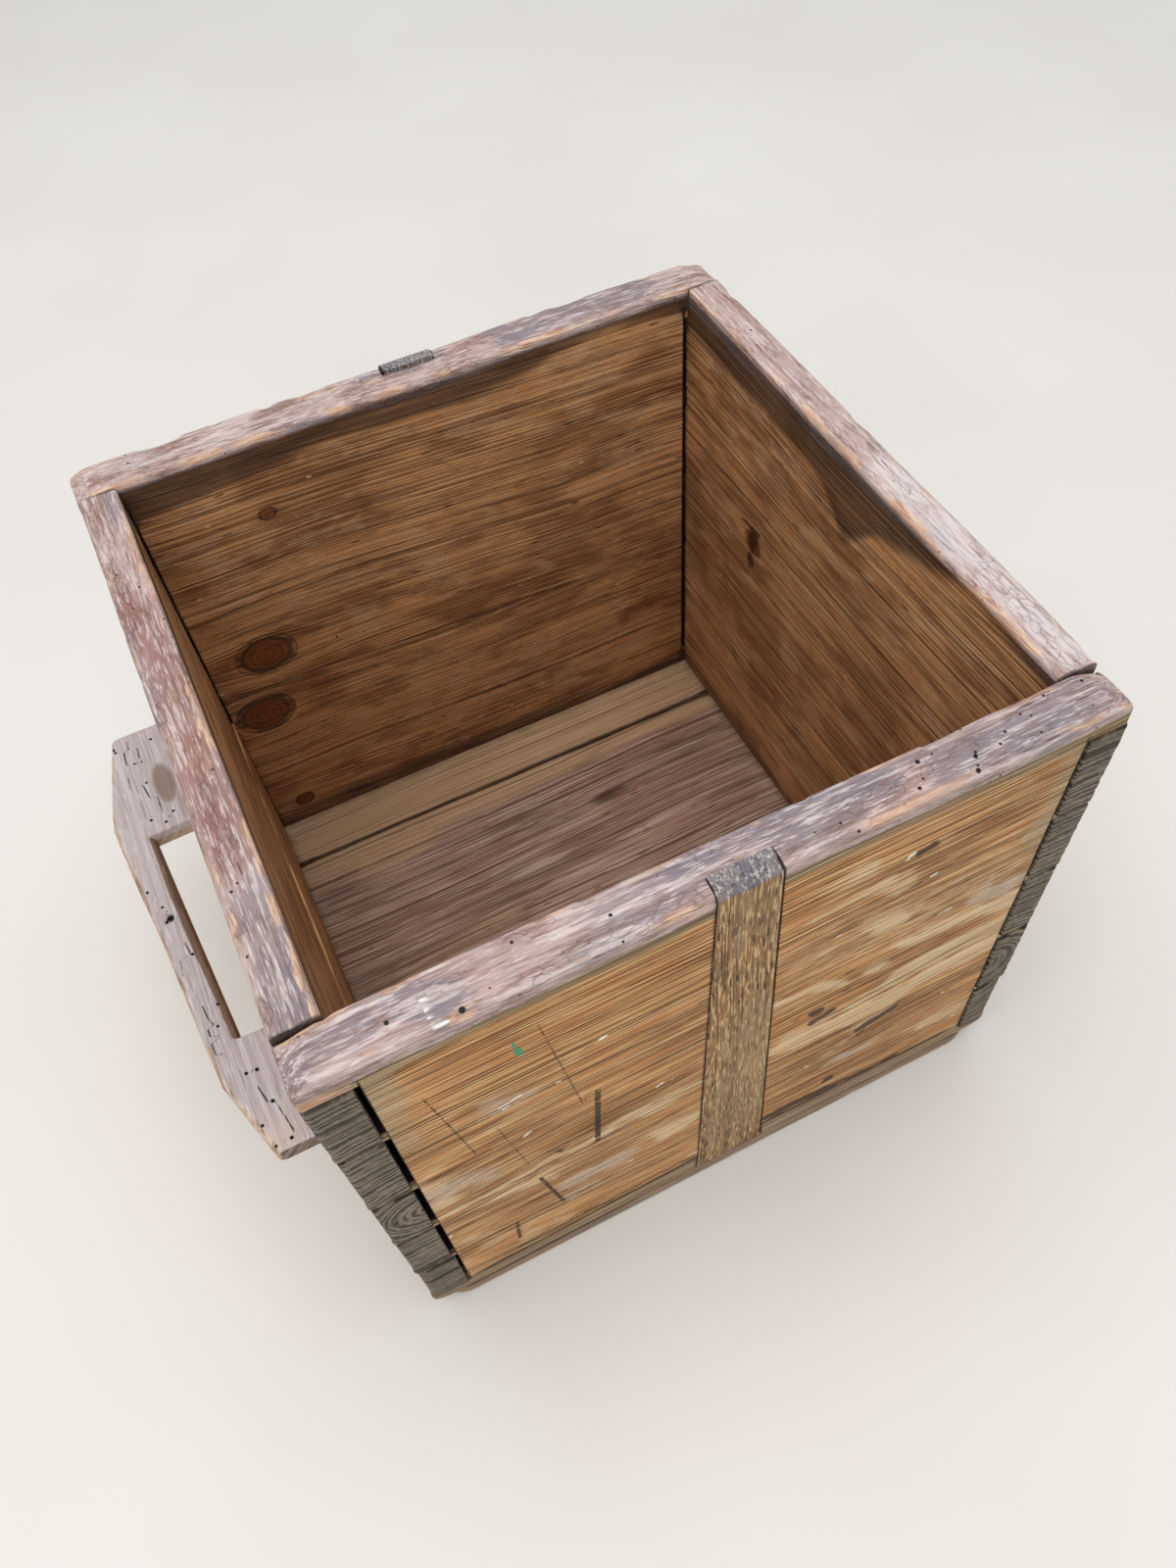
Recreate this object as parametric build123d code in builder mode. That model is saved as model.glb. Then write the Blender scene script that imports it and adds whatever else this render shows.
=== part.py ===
"""Open-topped pine crate: through-dovetailed walls, tapered oak keys, nailed floor and plank handles."""
import os

from build123d import *

# Crate body, in millimetres
crate_width = 420.0  # between the outer faces of the two side walls
crate_depth = 425.0  # between the outer faces of the front and back walls
wall_height = 363.0  # from the underside of the walls to the rim
front_wall = 28.0  # thickness of the front and back boards
side_wall = 23.0  # thickness of the upper side boards
side_ledge = 1.5  # how far the left wall's lower board stands in past the upper one
rim_round = 4.0  # worn rounding along the rim

# Dovetails: the front and back walls carry the pins, the side walls carry the tails
pin_face = 4.0  # height of a pin at the outer face, where it is thinnest
pin_slope = 7.0  # depth of wall for each millimetre of flare
pin_proud = 0.6  # pin ends stand out of the side walls
tail_proud = 1.5  # tail ends stand out of the front and back walls
top_half_pin = 17.0
bottom_half_pin = 12.5
cheek_clearance = 0.15  # between a pin and the tail beside it
left_shrinkage = 1.2  # open gap behind the left tails, where the side boards have shrunk
right_shrinkage = 0.6
left_tails = (60.5, 62.0, 63.0, 70.0, 62.0)  # hand-spaced tails from the bottom up, shared over the wall
right_tails = (60.5, 68.0, 66.0, 59.0, 64.0)
pins_below_seam = 1  # the left wall's boards meet on the next pin up

# Sloping seams of the front and back boards, from the pin at the left wall's seam and its match on the right
front_seam_left = -9.0
front_seam_right = 24.0
back_seam_left = 26.0
back_seam_right = -10.0

# Tapered dovetail keys across the front and back seams
key_depth = 11.0
key_flare = 3.0  # each side widens by this much towards the bottom of its groove
key_top_left = 15.5  # from the crate's middle to the key's edge at the rim
key_top_right = 18.5
key_foot_left = 20.0
key_foot_right = 29.0
key_clearance = 0.15
back_key_proud = 3.0  # the back key stands above the rim

# Floor boards, nailed up into the walls
floor_thickness = 17.0
floor_corner = 26.0  # corners worn round
floor_edge_round = 4.0
back_floor_width = 67.5
front_floor_width = 185.0
floor_gap = 3.0

# Cut nails
nail_head = (7.0, 4.5)
nail_head_thickness = 1.6
nail_shank = (3.4, 2.4)
nail_tip = (1.4, 1.2)
nail_clearance = 0.1
nail_recess = 0.4
floor_nail_length = 48.0
floor_nail_inset = 45.0  # from the crate's corner to the first nail along the front and back
floor_nails_along = 4
board_nail_inset = 22.0  # from a floor board's long edge to its nails in the side walls
handle_nail_length = 50.0
handle_nail_inset = 15.0  # from a foot's ends to its outer nails

# Plank handles: a long foot and a short foot joined by a tapering grip
handle_length = 318.0
handle_thickness = 12.5
handle_top = 197.0  # above the underside of the walls
handle_round = 3.0
long_foot = 87.0
short_foot = 72.0
long_shoulder = 71.0  # from the handle's end to the corner where the grip starts
short_shoulder = 51.0
long_foot_reach = 51.0
short_foot_reach = 35.0
long_grip_reach = 66.0
short_grip_reach = 51.0
long_grip_width = 22.0
short_grip_width = 17.0
grip_bevel = 5.0

# Places worked out from the sizes above
left_x = -crate_width / 2
right_x = crate_width / 2
front_y = -crate_depth / 2
back_y = crate_depth / 2
wall_foot = floor_thickness
rim_z = wall_foot + wall_height
left_socket = side_wall + side_ledge + left_shrinkage
right_socket = side_wall + right_shrinkage
front_inner_y = front_y + front_wall
back_inner_y = back_y - front_wall


def pin_heights(tails):
    """Heights of the pin centres on a wall whose tails share its height in these proportions."""
    pin_total = pin_face * (len(tails) - 1)
    tail_total = wall_height - top_half_pin - bottom_half_pin - pin_total
    heights = []
    level = wall_foot + bottom_half_pin
    for tail in tails[:-1]:
        level += tail_total * tail / sum(tails)
        heights.append(level + pin_face / 2)
        level += pin_face
    return heights


left_pins = pin_heights(left_tails)
right_pins = pin_heights(right_tails)


def draw_pins(outer_y, inner_y, heights, grow=0.0, overrun=0.0):
    """Draws the pins and half pins of one corner in the current sketch, across the wall's thickness."""
    outwards = -1 if outer_y < inner_y else 1
    face_y = outer_y + outwards * overrun
    flare = front_wall / pin_slope
    for height in heights:
        half = pin_face / 2 + grow
        Polygon(
            (face_y, height - half),
            (outer_y, height - half),
            (inner_y, height - half - flare),
            (inner_y, height + half + flare),
            (outer_y, height + half),
            (face_y, height + half),
            align=None,
        )
    top_edge = rim_z - top_half_pin - grow
    bottom_edge = wall_foot + bottom_half_pin + grow
    for edge, limit, turn in ((top_edge, rim_z + grow, -1), (bottom_edge, wall_foot - grow, 1)):
        Polygon(
            (face_y, edge),
            (outer_y, edge),
            (inner_y, edge + turn * flare),
            (inner_y, limit),
            (face_y, limit),
            align=None,
        )


def draw_key(outer_y, inwards, level, grow):
    """Draws the key's dovetail section at a height, wider at the bottom of its groove."""
    rise = (rim_z - level) / wall_height
    left_edge = -key_top_left - (key_foot_left - key_top_left) * rise - grow
    right_edge = key_top_right + (key_foot_right - key_top_right) * rise + grow
    groove_y = outer_y + inwards * key_depth
    Polygon(
        (left_edge, outer_y),
        (left_edge - key_flare, groove_y),
        (right_edge + key_flare, groove_y),
        (right_edge, outer_y),
        align=None,
    )


def add_key(outer_y, inwards, top_z, foot_z, grow=0.0, mode=Mode.ADD):
    """Adds the tapered key between two heights, or cuts its groove."""
    with BuildSketch(Plane.XY.offset(foot_z)) as foot:
        draw_key(outer_y, inwards, foot_z, grow)
    with BuildSketch(Plane.XY.offset(top_z)) as top:
        draw_key(outer_y, inwards, top_z, grow)
    loft([foot.sketch, top.sketch], ruled=True, mode=mode)


def add_nail(head_plane, length, grow=0.0, mouth=0.0, mode=Mode.ADD):
    """Adds a cut nail driven along the plane's normal from its head, or cuts its hole and its mouth."""
    extra = 2 * grow
    with BuildSketch(head_plane.offset(-mouth)) as head:
        Rectangle(nail_head[0] + extra, nail_head[1] + extra)
    extrude(head.sketch, amount=mouth + nail_head_thickness + grow, mode=mode)
    with BuildSketch(head_plane.offset(nail_head_thickness)) as neck:
        Rectangle(nail_shank[0] + extra, nail_shank[1] + extra)
    with BuildSketch(head_plane.offset(length + grow)) as tip:
        Rectangle(nail_tip[0] + extra, nail_tip[1] + extra)
    loft([neck.sketch, tip.sketch], ruled=True, mode=mode)


def cut_nails(head_planes, length):
    """Cuts the holes of nails, each open at the face that the nail was driven into."""
    for head_plane in head_planes:
        add_nail(head_plane, length, nail_clearance, nail_recess, Mode.SUBTRACT)


def nail_planes(points):
    """Planes of the floor nails' heads under the given points, driven upwards."""
    return [Plane(origin=(x, y, nail_recess), x_dir=(1, 0, 0), z_dir=(0, 0, 1)) for x, y in points]


def add_end_wall(outer_y, inwards):
    """Adds a whole front or back wall: its plate, its pins at both ends and its key groove."""
    inner_y = outer_y + inwards * front_wall
    plate_left = left_x + left_socket
    plate_right = right_x - right_socket
    with BuildSketch(Plane.YZ.offset(plate_left)) as plate:
        with Locations(((outer_y + inner_y) / 2, wall_foot + wall_height / 2)):
            Rectangle(front_wall, wall_height)
    extrude(plate.sketch, amount=plate_right - plate_left)
    with BuildSketch(Plane.YZ.offset(left_x - pin_proud)) as left_end:
        draw_pins(outer_y, inner_y, left_pins)
    extrude(left_end.sketch, amount=left_socket + pin_proud)
    with BuildSketch(Plane.YZ.offset(plate_right)) as right_end:
        draw_pins(outer_y, inner_y, right_pins)
    extrude(right_end.sketch, amount=right_socket + pin_proud)
    add_key(outer_y, inwards, rim_z, wall_foot, grow=key_clearance, mode=Mode.SUBTRACT)


def seam_plane(left_offset, right_offset):
    """Sloping plane between the two boards of an end wall, from one end of its seam to the other."""
    left_end = Vector(left_x, 0, left_pins[pins_below_seam] + left_offset)
    right_end = Vector(right_x, 0, right_pins[pins_below_seam] + right_offset)
    along = right_end - left_end
    return Plane(origin=left_end, x_dir=along, z_dir=along.cross(Vector(0, 1, 0)))


def add_side_wall(outer_x, inwards, thickness, heights):
    """Adds a whole side wall and cuts the sockets for the pins out of both its ends."""
    start_x = min(outer_x, outer_x + inwards * thickness)
    with BuildSketch(Plane.YZ.offset(start_x)) as plate:
        with Locations((0, wall_foot + wall_height / 2)):
            Rectangle(crate_depth + 2 * tail_proud, wall_height)
    extrude(plate.sketch, amount=thickness)
    with BuildSketch(Plane.YZ.offset(start_x)) as sockets:
        draw_pins(front_y, front_inner_y, heights, cheek_clearance, 2 * tail_proud)
        draw_pins(back_y, back_inner_y, heights, cheek_clearance, 2 * tail_proud)
    extrude(sockets.sketch, amount=thickness, mode=Mode.SUBTRACT)


def round_rim(axis):
    """Rounds the rim's long edges on the board being built."""
    fillet(edges().filter_by(axis).group_by(Axis.Z)[-1], rim_round)


# Floor nails, in the middle of the wall above each
end_nail_step = (crate_width - 2 * floor_nail_inset) / (floor_nails_along - 1)
end_nail_x = [left_x + floor_nail_inset + step * end_nail_step for step in range(floor_nails_along)]
front_nails = [(x, front_y + front_wall / 2) for x in end_nail_x]
back_nails = [(x, back_y - front_wall / 2) for x in end_nail_x]
side_nail_x = right_x - side_wall / 2
front_joint_y = front_y + front_floor_width
back_joint_y = back_y - back_floor_width
side_nail_y = [
    front_inner_y + board_nail_inset,
    front_joint_y - board_nail_inset,
    front_joint_y + floor_gap + board_nail_inset,
    back_joint_y - floor_gap - board_nail_inset,
]
left_nails = [(-side_nail_x, y) for y in side_nail_y]
right_nails = [(side_nail_x, y) for y in side_nail_y]
floor_nail_points = front_nails + back_nails + left_nails + right_nails


# Handle nails, driven out through the side walls into the middle of each foot
handle_mid_z = wall_foot + handle_top - handle_thickness / 2
long_foot_end = handle_length / 2
short_foot_end = -handle_length / 2
handle_nail_y = []
for near, far in (
    (long_foot_end - long_foot, long_foot_end),
    (short_foot_end, short_foot_end + short_foot),
):
    handle_nail_y += [near + handle_nail_inset, (near + far) / 2, far - handle_nail_inset]


def handle_nail_planes(side):
    """Planes of the handle nails' heads on the inner face of a side wall; side is -1 left, 1 right."""
    head_x = side * (crate_width / 2 - side_wall + nail_recess)
    return [
        Plane(origin=(head_x, -side * y, handle_mid_z), x_dir=(0, 1, 0), z_dir=(side, 0, 0))
        for y in handle_nail_y
    ]


def add_handle(side):
    """Adds a plank handle on a side wall; the right one is the left one turned about."""

    def place(reach, along):
        return (side * (crate_width / 2 + reach), -side * along)

    long_slot_y = long_foot_end - long_foot
    short_slot_y = short_foot_end + short_foot
    with BuildSketch(Plane.XY.offset(wall_foot + handle_top - handle_thickness)) as outline:
        Polygon(
            place(0, short_foot_end),
            place(short_foot_reach, short_foot_end),
            place(short_grip_reach, short_foot_end + short_shoulder),
            place(long_grip_reach, long_foot_end - long_shoulder),
            place(long_foot_reach, long_foot_end),
            place(0, long_foot_end),
            place(0, long_slot_y),
            place(long_grip_reach - long_grip_width, long_slot_y),
            place(short_grip_reach - short_grip_width, short_slot_y),
            place(0, short_slot_y),
            align=None,
        )
    extrude(outline.sketch, amount=handle_thickness)
    # The worn outer arris and the bevel along the finger slot, both on the upper face
    top_edges = faces().sort_by(Axis.Z)[-1].edges()
    outward = top_edges.sort_by(lambda edge: side * edge.center().X)
    slot_edge = top_edges.filter_by(lambda edge: edge.length > long_foot).sort_by(
        lambda edge: side * edge.center().X
    )[0]
    fillet(outward[-3:], handle_round)
    chamfer(slot_edge, grip_bevel)
    cut_nails(handle_nail_planes(side), handle_nail_length)


# Front wall boards
with BuildPart() as front_upper_board:
    add_end_wall(front_y, 1)
    split(bisect_by=seam_plane(front_seam_left, front_seam_right), keep=Keep.TOP)
    round_rim(Axis.X)

with BuildPart() as front_lower_board:
    add_end_wall(front_y, 1)
    split(bisect_by=seam_plane(front_seam_left, front_seam_right), keep=Keep.BOTTOM)
    cut_nails(nail_planes(front_nails), floor_nail_length)

# Back wall boards
with BuildPart() as back_upper_board:
    add_end_wall(back_y, -1)
    split(bisect_by=seam_plane(back_seam_left, back_seam_right), keep=Keep.TOP)
    round_rim(Axis.X)

with BuildPart() as back_lower_board:
    add_end_wall(back_y, -1)
    split(bisect_by=seam_plane(back_seam_left, back_seam_right), keep=Keep.BOTTOM)
    cut_nails(nail_planes(back_nails), floor_nail_length)

# Side walls: the left one is two boards, the lower a little thicker, and the right one is one wide board
with BuildPart() as left_upper_board:
    add_side_wall(left_x, 1, side_wall, left_pins)
    split(bisect_by=Plane.XY.offset(left_pins[pins_below_seam]), keep=Keep.TOP)
    round_rim(Axis.Y)
    cut_nails(handle_nail_planes(-1), handle_nail_length)

with BuildPart() as left_lower_board:
    add_side_wall(left_x, 1, side_wall + side_ledge, left_pins)
    split(bisect_by=Plane.XY.offset(left_pins[pins_below_seam]), keep=Keep.BOTTOM)
    cut_nails(nail_planes(left_nails), floor_nail_length)

with BuildPart() as right_board:
    add_side_wall(right_x, -1, side_wall, right_pins)
    round_rim(Axis.Y)
    cut_nails(handle_nail_planes(1), handle_nail_length)
    cut_nails(nail_planes(right_nails), floor_nail_length)

# Keys
with BuildPart() as front_key:
    add_key(front_y, 1, rim_z, wall_foot)

with BuildPart() as back_key:
    add_key(back_y, -1, rim_z + back_key_proud, wall_foot)


def add_floor_board(near_y, far_y, nails, rounded_side):
    """Adds one floor board; rounded_side is -1 or 1 where it has the crate's worn corners, or 0."""
    with BuildSketch() as outline:
        with Locations((0, (near_y + far_y) / 2)):
            Rectangle(crate_width, far_y - near_y)
        if rounded_side:
            corners = outline.vertices().sort_by(Axis.Y)
            fillet(corners[-2:] if rounded_side > 0 else corners[:2], floor_corner)
    extrude(outline.sketch, amount=floor_thickness)
    if rounded_side:
        outer_edge = faces().sort_by(Axis.Z)[0].edges().sort_by(Axis.Y)
        fillet(outer_edge[-1] if rounded_side > 0 else outer_edge[0], floor_edge_round)
    cut_nails(nail_planes(nails), floor_nail_length)


def nails_between(near_y, far_y):
    """The floor nails that go through a board between two lines."""
    return [point for point in floor_nail_points if near_y < point[1] < far_y]


with BuildPart() as front_floor_board:
    add_floor_board(front_y, front_joint_y, nails_between(front_y, front_joint_y), -1)

middle_near_y = front_joint_y + floor_gap / 6
middle_far_y = back_joint_y - floor_gap
with BuildPart() as middle_floor_board:
    add_floor_board(middle_near_y, middle_far_y, nails_between(middle_near_y, middle_far_y), 0)

with BuildPart() as back_floor_board:
    add_floor_board(back_joint_y, back_y, nails_between(back_joint_y, back_y), 1)

with BuildPart() as floor_nails:
    for nail_plane in nail_planes(floor_nail_points):
        add_nail(nail_plane, floor_nail_length)

# Handles and their nails
with BuildPart() as left_handle:
    add_handle(-1)

with BuildPart() as right_handle:
    add_handle(1)

with BuildPart() as left_handle_nails:
    for nail_plane in handle_nail_planes(-1):
        add_nail(nail_plane, handle_nail_length)

with BuildPart() as right_handle_nails:
    for nail_plane in handle_nail_planes(1):
        add_nail(nail_plane, handle_nail_length)

nodes = {
    "front_upper_board": front_upper_board,
    "front_lower_board": front_lower_board,
    "back_upper_board": back_upper_board,
    "back_lower_board": back_lower_board,
    "left_upper_board": left_upper_board,
    "left_lower_board": left_lower_board,
    "right_board": right_board,
    "front_key": front_key,
    "back_key": back_key,
    "front_floor_board": front_floor_board,
    "middle_floor_board": middle_floor_board,
    "back_floor_board": back_floor_board,
    "floor_nails": floor_nails,
    "left_handle": left_handle,
    "right_handle": right_handle,
    "left_handle_nails": left_handle_nails,
    "right_handle_nails": right_handle_nails,
}

os.makedirs("parts", exist_ok=True)
for name, piece in nodes.items():
    piece.part.label = name
    export_step(piece.part, f"parts/{name}.step")
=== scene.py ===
"""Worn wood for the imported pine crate: dovetailed boards, oak keys, nailed floor, plank handles, studio and camera.

Sizes are in millimetres in the crate's own frame and become metres when a mesh is made.
"""
import logging
from collections.abc import Callable, Mapping, Sequence
from dataclasses import dataclass, field
from enum import Enum
from functools import reduce

import bpy
import numpy as np
from mathutils import Matrix

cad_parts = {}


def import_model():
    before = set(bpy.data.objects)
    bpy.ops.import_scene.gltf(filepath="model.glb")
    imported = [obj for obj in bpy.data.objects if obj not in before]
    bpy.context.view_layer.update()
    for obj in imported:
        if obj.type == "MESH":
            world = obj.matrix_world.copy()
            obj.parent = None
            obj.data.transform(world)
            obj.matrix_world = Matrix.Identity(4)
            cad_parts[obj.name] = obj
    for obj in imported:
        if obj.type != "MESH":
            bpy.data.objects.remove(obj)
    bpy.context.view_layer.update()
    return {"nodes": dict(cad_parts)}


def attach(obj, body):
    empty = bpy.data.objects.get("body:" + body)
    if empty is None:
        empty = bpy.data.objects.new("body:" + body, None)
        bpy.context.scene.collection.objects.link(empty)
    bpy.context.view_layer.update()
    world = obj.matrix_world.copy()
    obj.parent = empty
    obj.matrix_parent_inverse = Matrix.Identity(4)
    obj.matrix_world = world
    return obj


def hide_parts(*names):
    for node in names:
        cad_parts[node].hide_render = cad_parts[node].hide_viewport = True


LOG = logging.getLogger("crate")
MM = 0.001
Array = np.ndarray
Socket, Tree, Material = bpy.types.NodeSocket, bpy.types.NodeTree, bpy.types.Material

# The crate's main lines, as the CAD source has them
LEFT_X, RIGHT_X = -210.0, 210.0
FRONT_Y, BACK_Y = -212.5, 212.5
FOOT_Z, RIM_Z = 17.0, 380.0
END_WALL, SIDE_WALL = 28.0, 23.0
PIN_FACE, PIN_FLARE = 4.0, 4.0
PIN_PROUD, TAIL_PROUD = 0.6, 1.5
TOP_HALF_PIN, BOTTOM_HALF_PIN = 17.0, 12.5
LEFT_PINS = (92.0, 158.0, 225.0, 299.0)
RIGHT_PINS = (92.0, 164.0, 234.0, 297.0)

# Slack of a dry joint, and how far in from the outer faces a tail's end grain reaches
SLACK, TAIL_END = 0.15, 6.0
# The lowest tails start below this height
LOWEST_TAIL = 60.0
# A distance that counts as away from every scratch and hole
FAR = 99.0
# Fibres are moved on by this much for each step of a board's seed, so that no two boards share a streak
FIBRE_SHIFT = 37.0


class Run(Enum):
    """World axes that a timber's length, width and thickness lie along."""

    END_WALL = (0, 2, 1)
    SIDE_WALL = (1, 2, 0)
    FLAT = (0, 1, 2)
    UPRIGHT = (2, 0, 1)
    HANDLE = (1, 0, 2)


def linear(code: str) -> tuple[float, float, float, float]:
    """Turns an sRGB hex colour into linear light.

    Args:
        code: Six hex digits with a leading hash sign.

    Returns:
        Red, green, blue and an alpha of one.
    """
    parts = np.array([int(code[k : k + 2], 16) for k in (1, 3, 5)]) / 255.0
    light = np.where(parts <= 0.04045, parts / 12.92, ((parts + 0.055) / 1.055) ** 2.4)
    return (float(light[0]), float(light[1]), float(light[2]), 1.0)


def add_node(
    tree: Tree,
    kind: str,
    settings: Mapping[str, object] | None = None,
    inputs: Mapping[str | int, object] | None = None,
) -> bpy.types.Node:
    """Adds a shader node with its settings, its input values and its links.

    Args:
        tree: Node tree that gets the node.
        kind: Blender's name for the node.
        settings: Properties of the node and their values.
        inputs: Input names or places; an output socket is linked, a hex colour is turned to linear light.

    Returns:
        The new node.
    """
    node = tree.nodes.new(kind)
    for name, value in (settings or {}).items():
        setattr(node, name, value)
    for place, value in (inputs or {}).items():
        if isinstance(value, Socket):
            tree.links.new(value, node.inputs[place])
        elif isinstance(value, str):
            node.inputs[place].default_value = linear(value)
        else:
            node.inputs[place].default_value = value
    return node


def smooth(low: float, high: float, value: Array) -> Array:
    """Smooth step: 0 below low, 1 above high, and three squares less two cubes of the share between."""
    share = np.clip((value - low) / (high - low), 0.0, 1.0)
    return share * share * (3.0 - 2.0 * share)


def hump(value: Array, width: float) -> Array:
    """Bell curve of a given half width: the exponential of minus the squared share of the width."""
    return np.exp(-((value / width) ** 2))


@dataclass(frozen=True)
class Mottle:
    """Seeded smooth noise with its own size along each world axis."""

    seed: int
    size: tuple[float, float, float]

    def _corner(self, cells: Array) -> Array:
        """Hashes whole-number cells by multiplying, mixing and folding their bits.

        Args:
            cells: Cell numbers, three in the last axis.

        Returns:
            Values from -1 to 1.
        """
        mixed = cells.astype(np.int64) @ np.array([73856093, 19349663, 83492791]) + self.seed * 2654435761
        mixed &= 0xFFFFFFFF
        mixed = ((mixed ^ (mixed >> 16)) * 0x45D9F3B) & 0xFFFFFFFF
        mixed = ((mixed ^ (mixed >> 16)) * 0x45D9F3B) & 0xFFFFFFFF
        return (mixed ^ (mixed >> 16)) / 2147483648.0 - 1.0

    def at(self, points: Array) -> Array:
        """Noise at points: the eight corner values of each cell, blended by smooth steps along the three axes.

        Args:
            points: Places in millimetres, three in the last axis.

        Returns:
            Values from -1 to 1.
        """
        scaled = points / np.array(self.size)
        cell = np.floor(scaled)
        share = scaled - cell
        share = share * share * (3.0 - 2.0 * share)
        total = np.zeros(points.shape[:-1])
        for step in np.ndindex(2, 2, 2):
            offset = np.array(step)
            weight = np.where(offset == 1, share, 1.0 - share).prod(-1)
            total += weight * self._corner(cell + offset)
        return total

    def layered(self, points: Array, layers: int = 3) -> Array:
        """Sums layers of noise, each half the size and half the height of the one before.

        Args:
            points: Places in millimetres, three in the last axis.
            layers: Number of layers.

        Returns:
            The sum at each point.
        """
        total = np.zeros(points.shape[:-1])
        for layer in range(layers):
            finer = Mottle(self.seed + 17 * layer, tuple(s / 2**layer for s in self.size))
            total += finer.at(points) / 2**layer
        return total


def on_line(places: Array, axis: int, lane: float = 0.0) -> Array:
    """Points on a line along the x or the y axis, for noise that follows one edge.

    Args:
        places: Places along the axis.
        axis: 0 for x, 1 for y.
        lane: Place on the other of the two, well away from other edges' lanes.

    Returns:
        Points, three in the last axis.
    """
    points = np.zeros(places.shape + (3,))
    points[..., axis] = places
    points[..., 1 - axis] = lane
    return points


@dataclass(frozen=True)
class WornEdge:
    """An edge worn round: its mean radius, how far that swings, how deep chips bite and the lane of its noise."""

    radius: float
    swing: float
    bite: float
    lane: float
    chipped: tuple[float, float] = (0.35, 0.9)

    def at(self, swell: Mottle, chips: Mottle, places: Array, axis: int) -> Array:
        """Radius along the edge: the mean, a slow swing, and the bite wherever the chips' noise is high.

        Args:
            swell: Slow noise of the radius.
            chips: Quick noise of the chips.
            places: Places along the edge.
            axis: 0 for an edge along x, 1 for one along y.

        Returns:
            Radius at each place.
        """
        chip = smooth(*self.chipped, chips.at(on_line(places, axis, self.lane + 200.0)))
        return self.radius + self.swing * swell.at(on_line(places, axis, self.lane)) + self.bite * chip


@dataclass
class Timber:
    """Points, quads and the wood's state at each point, ready to become a mesh."""

    points: Array
    quads: Array
    state: dict[str, Array]

    @staticmethod
    def joined(parts: Sequence["Timber"]) -> "Timber":
        """Puts several timbers into one, each quad moved on by the points before it.

        Args:
            parts: Timbers with the same states.

        Returns:
            The joined timber.
        """
        starts = np.cumsum([0] + [len(part.points) for part in parts[:-1]])
        return Timber(
            np.concatenate([part.points for part in parts]),
            np.concatenate([part.quads + start for part, start in zip(parts, starts)]),
            {name: np.concatenate([part.state[name] for part in parts]) for name in parts[0].state},
        )


@dataclass(frozen=True)
class Knot:
    """A branch that runs through the board: its place along and across it, and its radius."""

    along: float
    across: float
    radius: float


@dataclass(frozen=True)
class Mark:
    """A scratch or smear from one point to another on a face of a board."""

    start: tuple[float, float]
    end: tuple[float, float]
    width: float
    strength: float

    def cover(self, along: Array, across: Array) -> Array:
        """How strongly the mark covers points: the distance to its line, as a bell curve of its width.

        Args:
            along: Places along the board.
            across: Places across it.

        Returns:
            Cover at each point, up to the mark's strength.
        """
        way = np.subtract(self.end, self.start)
        share = ((along - self.start[0]) * way[0] + (across - self.start[1]) * way[1]) / (way @ way)
        share = np.clip(share, 0.0, 1.0)
        gap = np.hypot(along - self.start[0] - share * way[0], across - self.start[1] - share * way[1])
        return self.strength * hump(gap, self.width)

    @staticmethod
    def strongest(marks: Sequence["Mark"], along: Array, across: Array) -> Array:
        """Highest cover of any mark at each point, and nought where there is none."""
        return np.maximum.reduce([np.zeros_like(along), *(mark.cover(along, across) for mark in marks)])

    @staticmethod
    def nearest(marks: Sequence["Mark"], along: Array, across: Array) -> tuple[Array, Array]:
        """Finds the nearest mark of each point.

        The distance has a sign, so that it runs straight through nought on the mark's line and a coarse grid still
        draws a thin line. The strength fades past the mark's ends and far from its line.

        Args:
            marks: Marks on one face.
            along: Places along the board.
            across: Places across it.

        Returns:
            Signed distance in widths of the mark, and the mark's strength.
        """
        gap, strength = np.full_like(along, FAR), np.zeros_like(along)
        for mark in marks:
            way = np.subtract(mark.end, mark.start)
            length = np.hypot(*way)
            run = ((along - mark.start[0]) * way[0] + (across - mark.start[1]) * way[1]) / length
            aside = ((across - mark.start[1]) * way[0] - (along - mark.start[0]) * way[1]) / length
            past = np.maximum(np.maximum(-run, run - length), 0.0)
            reach = mark.strength * (1 - smooth(0.0, 3.0, past)) * (1 - smooth(6.0, 9.0, np.abs(aside)))
            closer = reach > strength
            gap = np.where(closer, aside / mark.width, gap)
            strength = np.where(closer, reach, strength)
        return gap, strength


@dataclass(frozen=True)
class Hole:
    """A beetle's way out of the wood: its place along and across a face, and its radius."""

    along: float
    across: float
    radius: float = 1.0

    @staticmethod
    def nearest(holes: Sequence["Hole"], along: Array, across: Array) -> Array:
        """Finds the offset from the nearest hole, in radii.

        The offset is straight in the place, so a coarse grid still draws a round hole. Its third part is nought near a
        hole and large elsewhere, which keeps a cell between two holes from passing through nought.

        Args:
            holes: Holes in one face.
            along: Places along the face.
            across: Places across it.

        Returns:
            Offset along, offset across and the part that is large away from a hole, in the last axis.
        """
        pit = np.zeros(along.shape + (3,))
        pit[..., 2] = FAR
        best = np.full_like(along, 6.0)
        for hole in holes:
            offset = np.stack([along - hole.along, across - hole.across, np.zeros_like(along)], -1)
            gap = np.linalg.norm(offset, axis=-1)
            pit = np.where((gap < best)[..., None], offset / hole.radius, pit)
            best = np.minimum(best, gap)
        return pit


Marks = tuple[Mark, ...]
Holes = tuple[Hole, ...]


def marks(*rows: tuple[float, ...]) -> Marks:
    """Makes marks from rows of start, end, width and strength."""
    return tuple(Mark(row[:2], row[2:4], *row[4:]) for row in rows)


def holes(*rows: tuple[float, float, float]) -> Holes:
    """Makes holes from rows of place along, place across and radius."""
    return tuple(Hole(*row) for row in rows)


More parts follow.
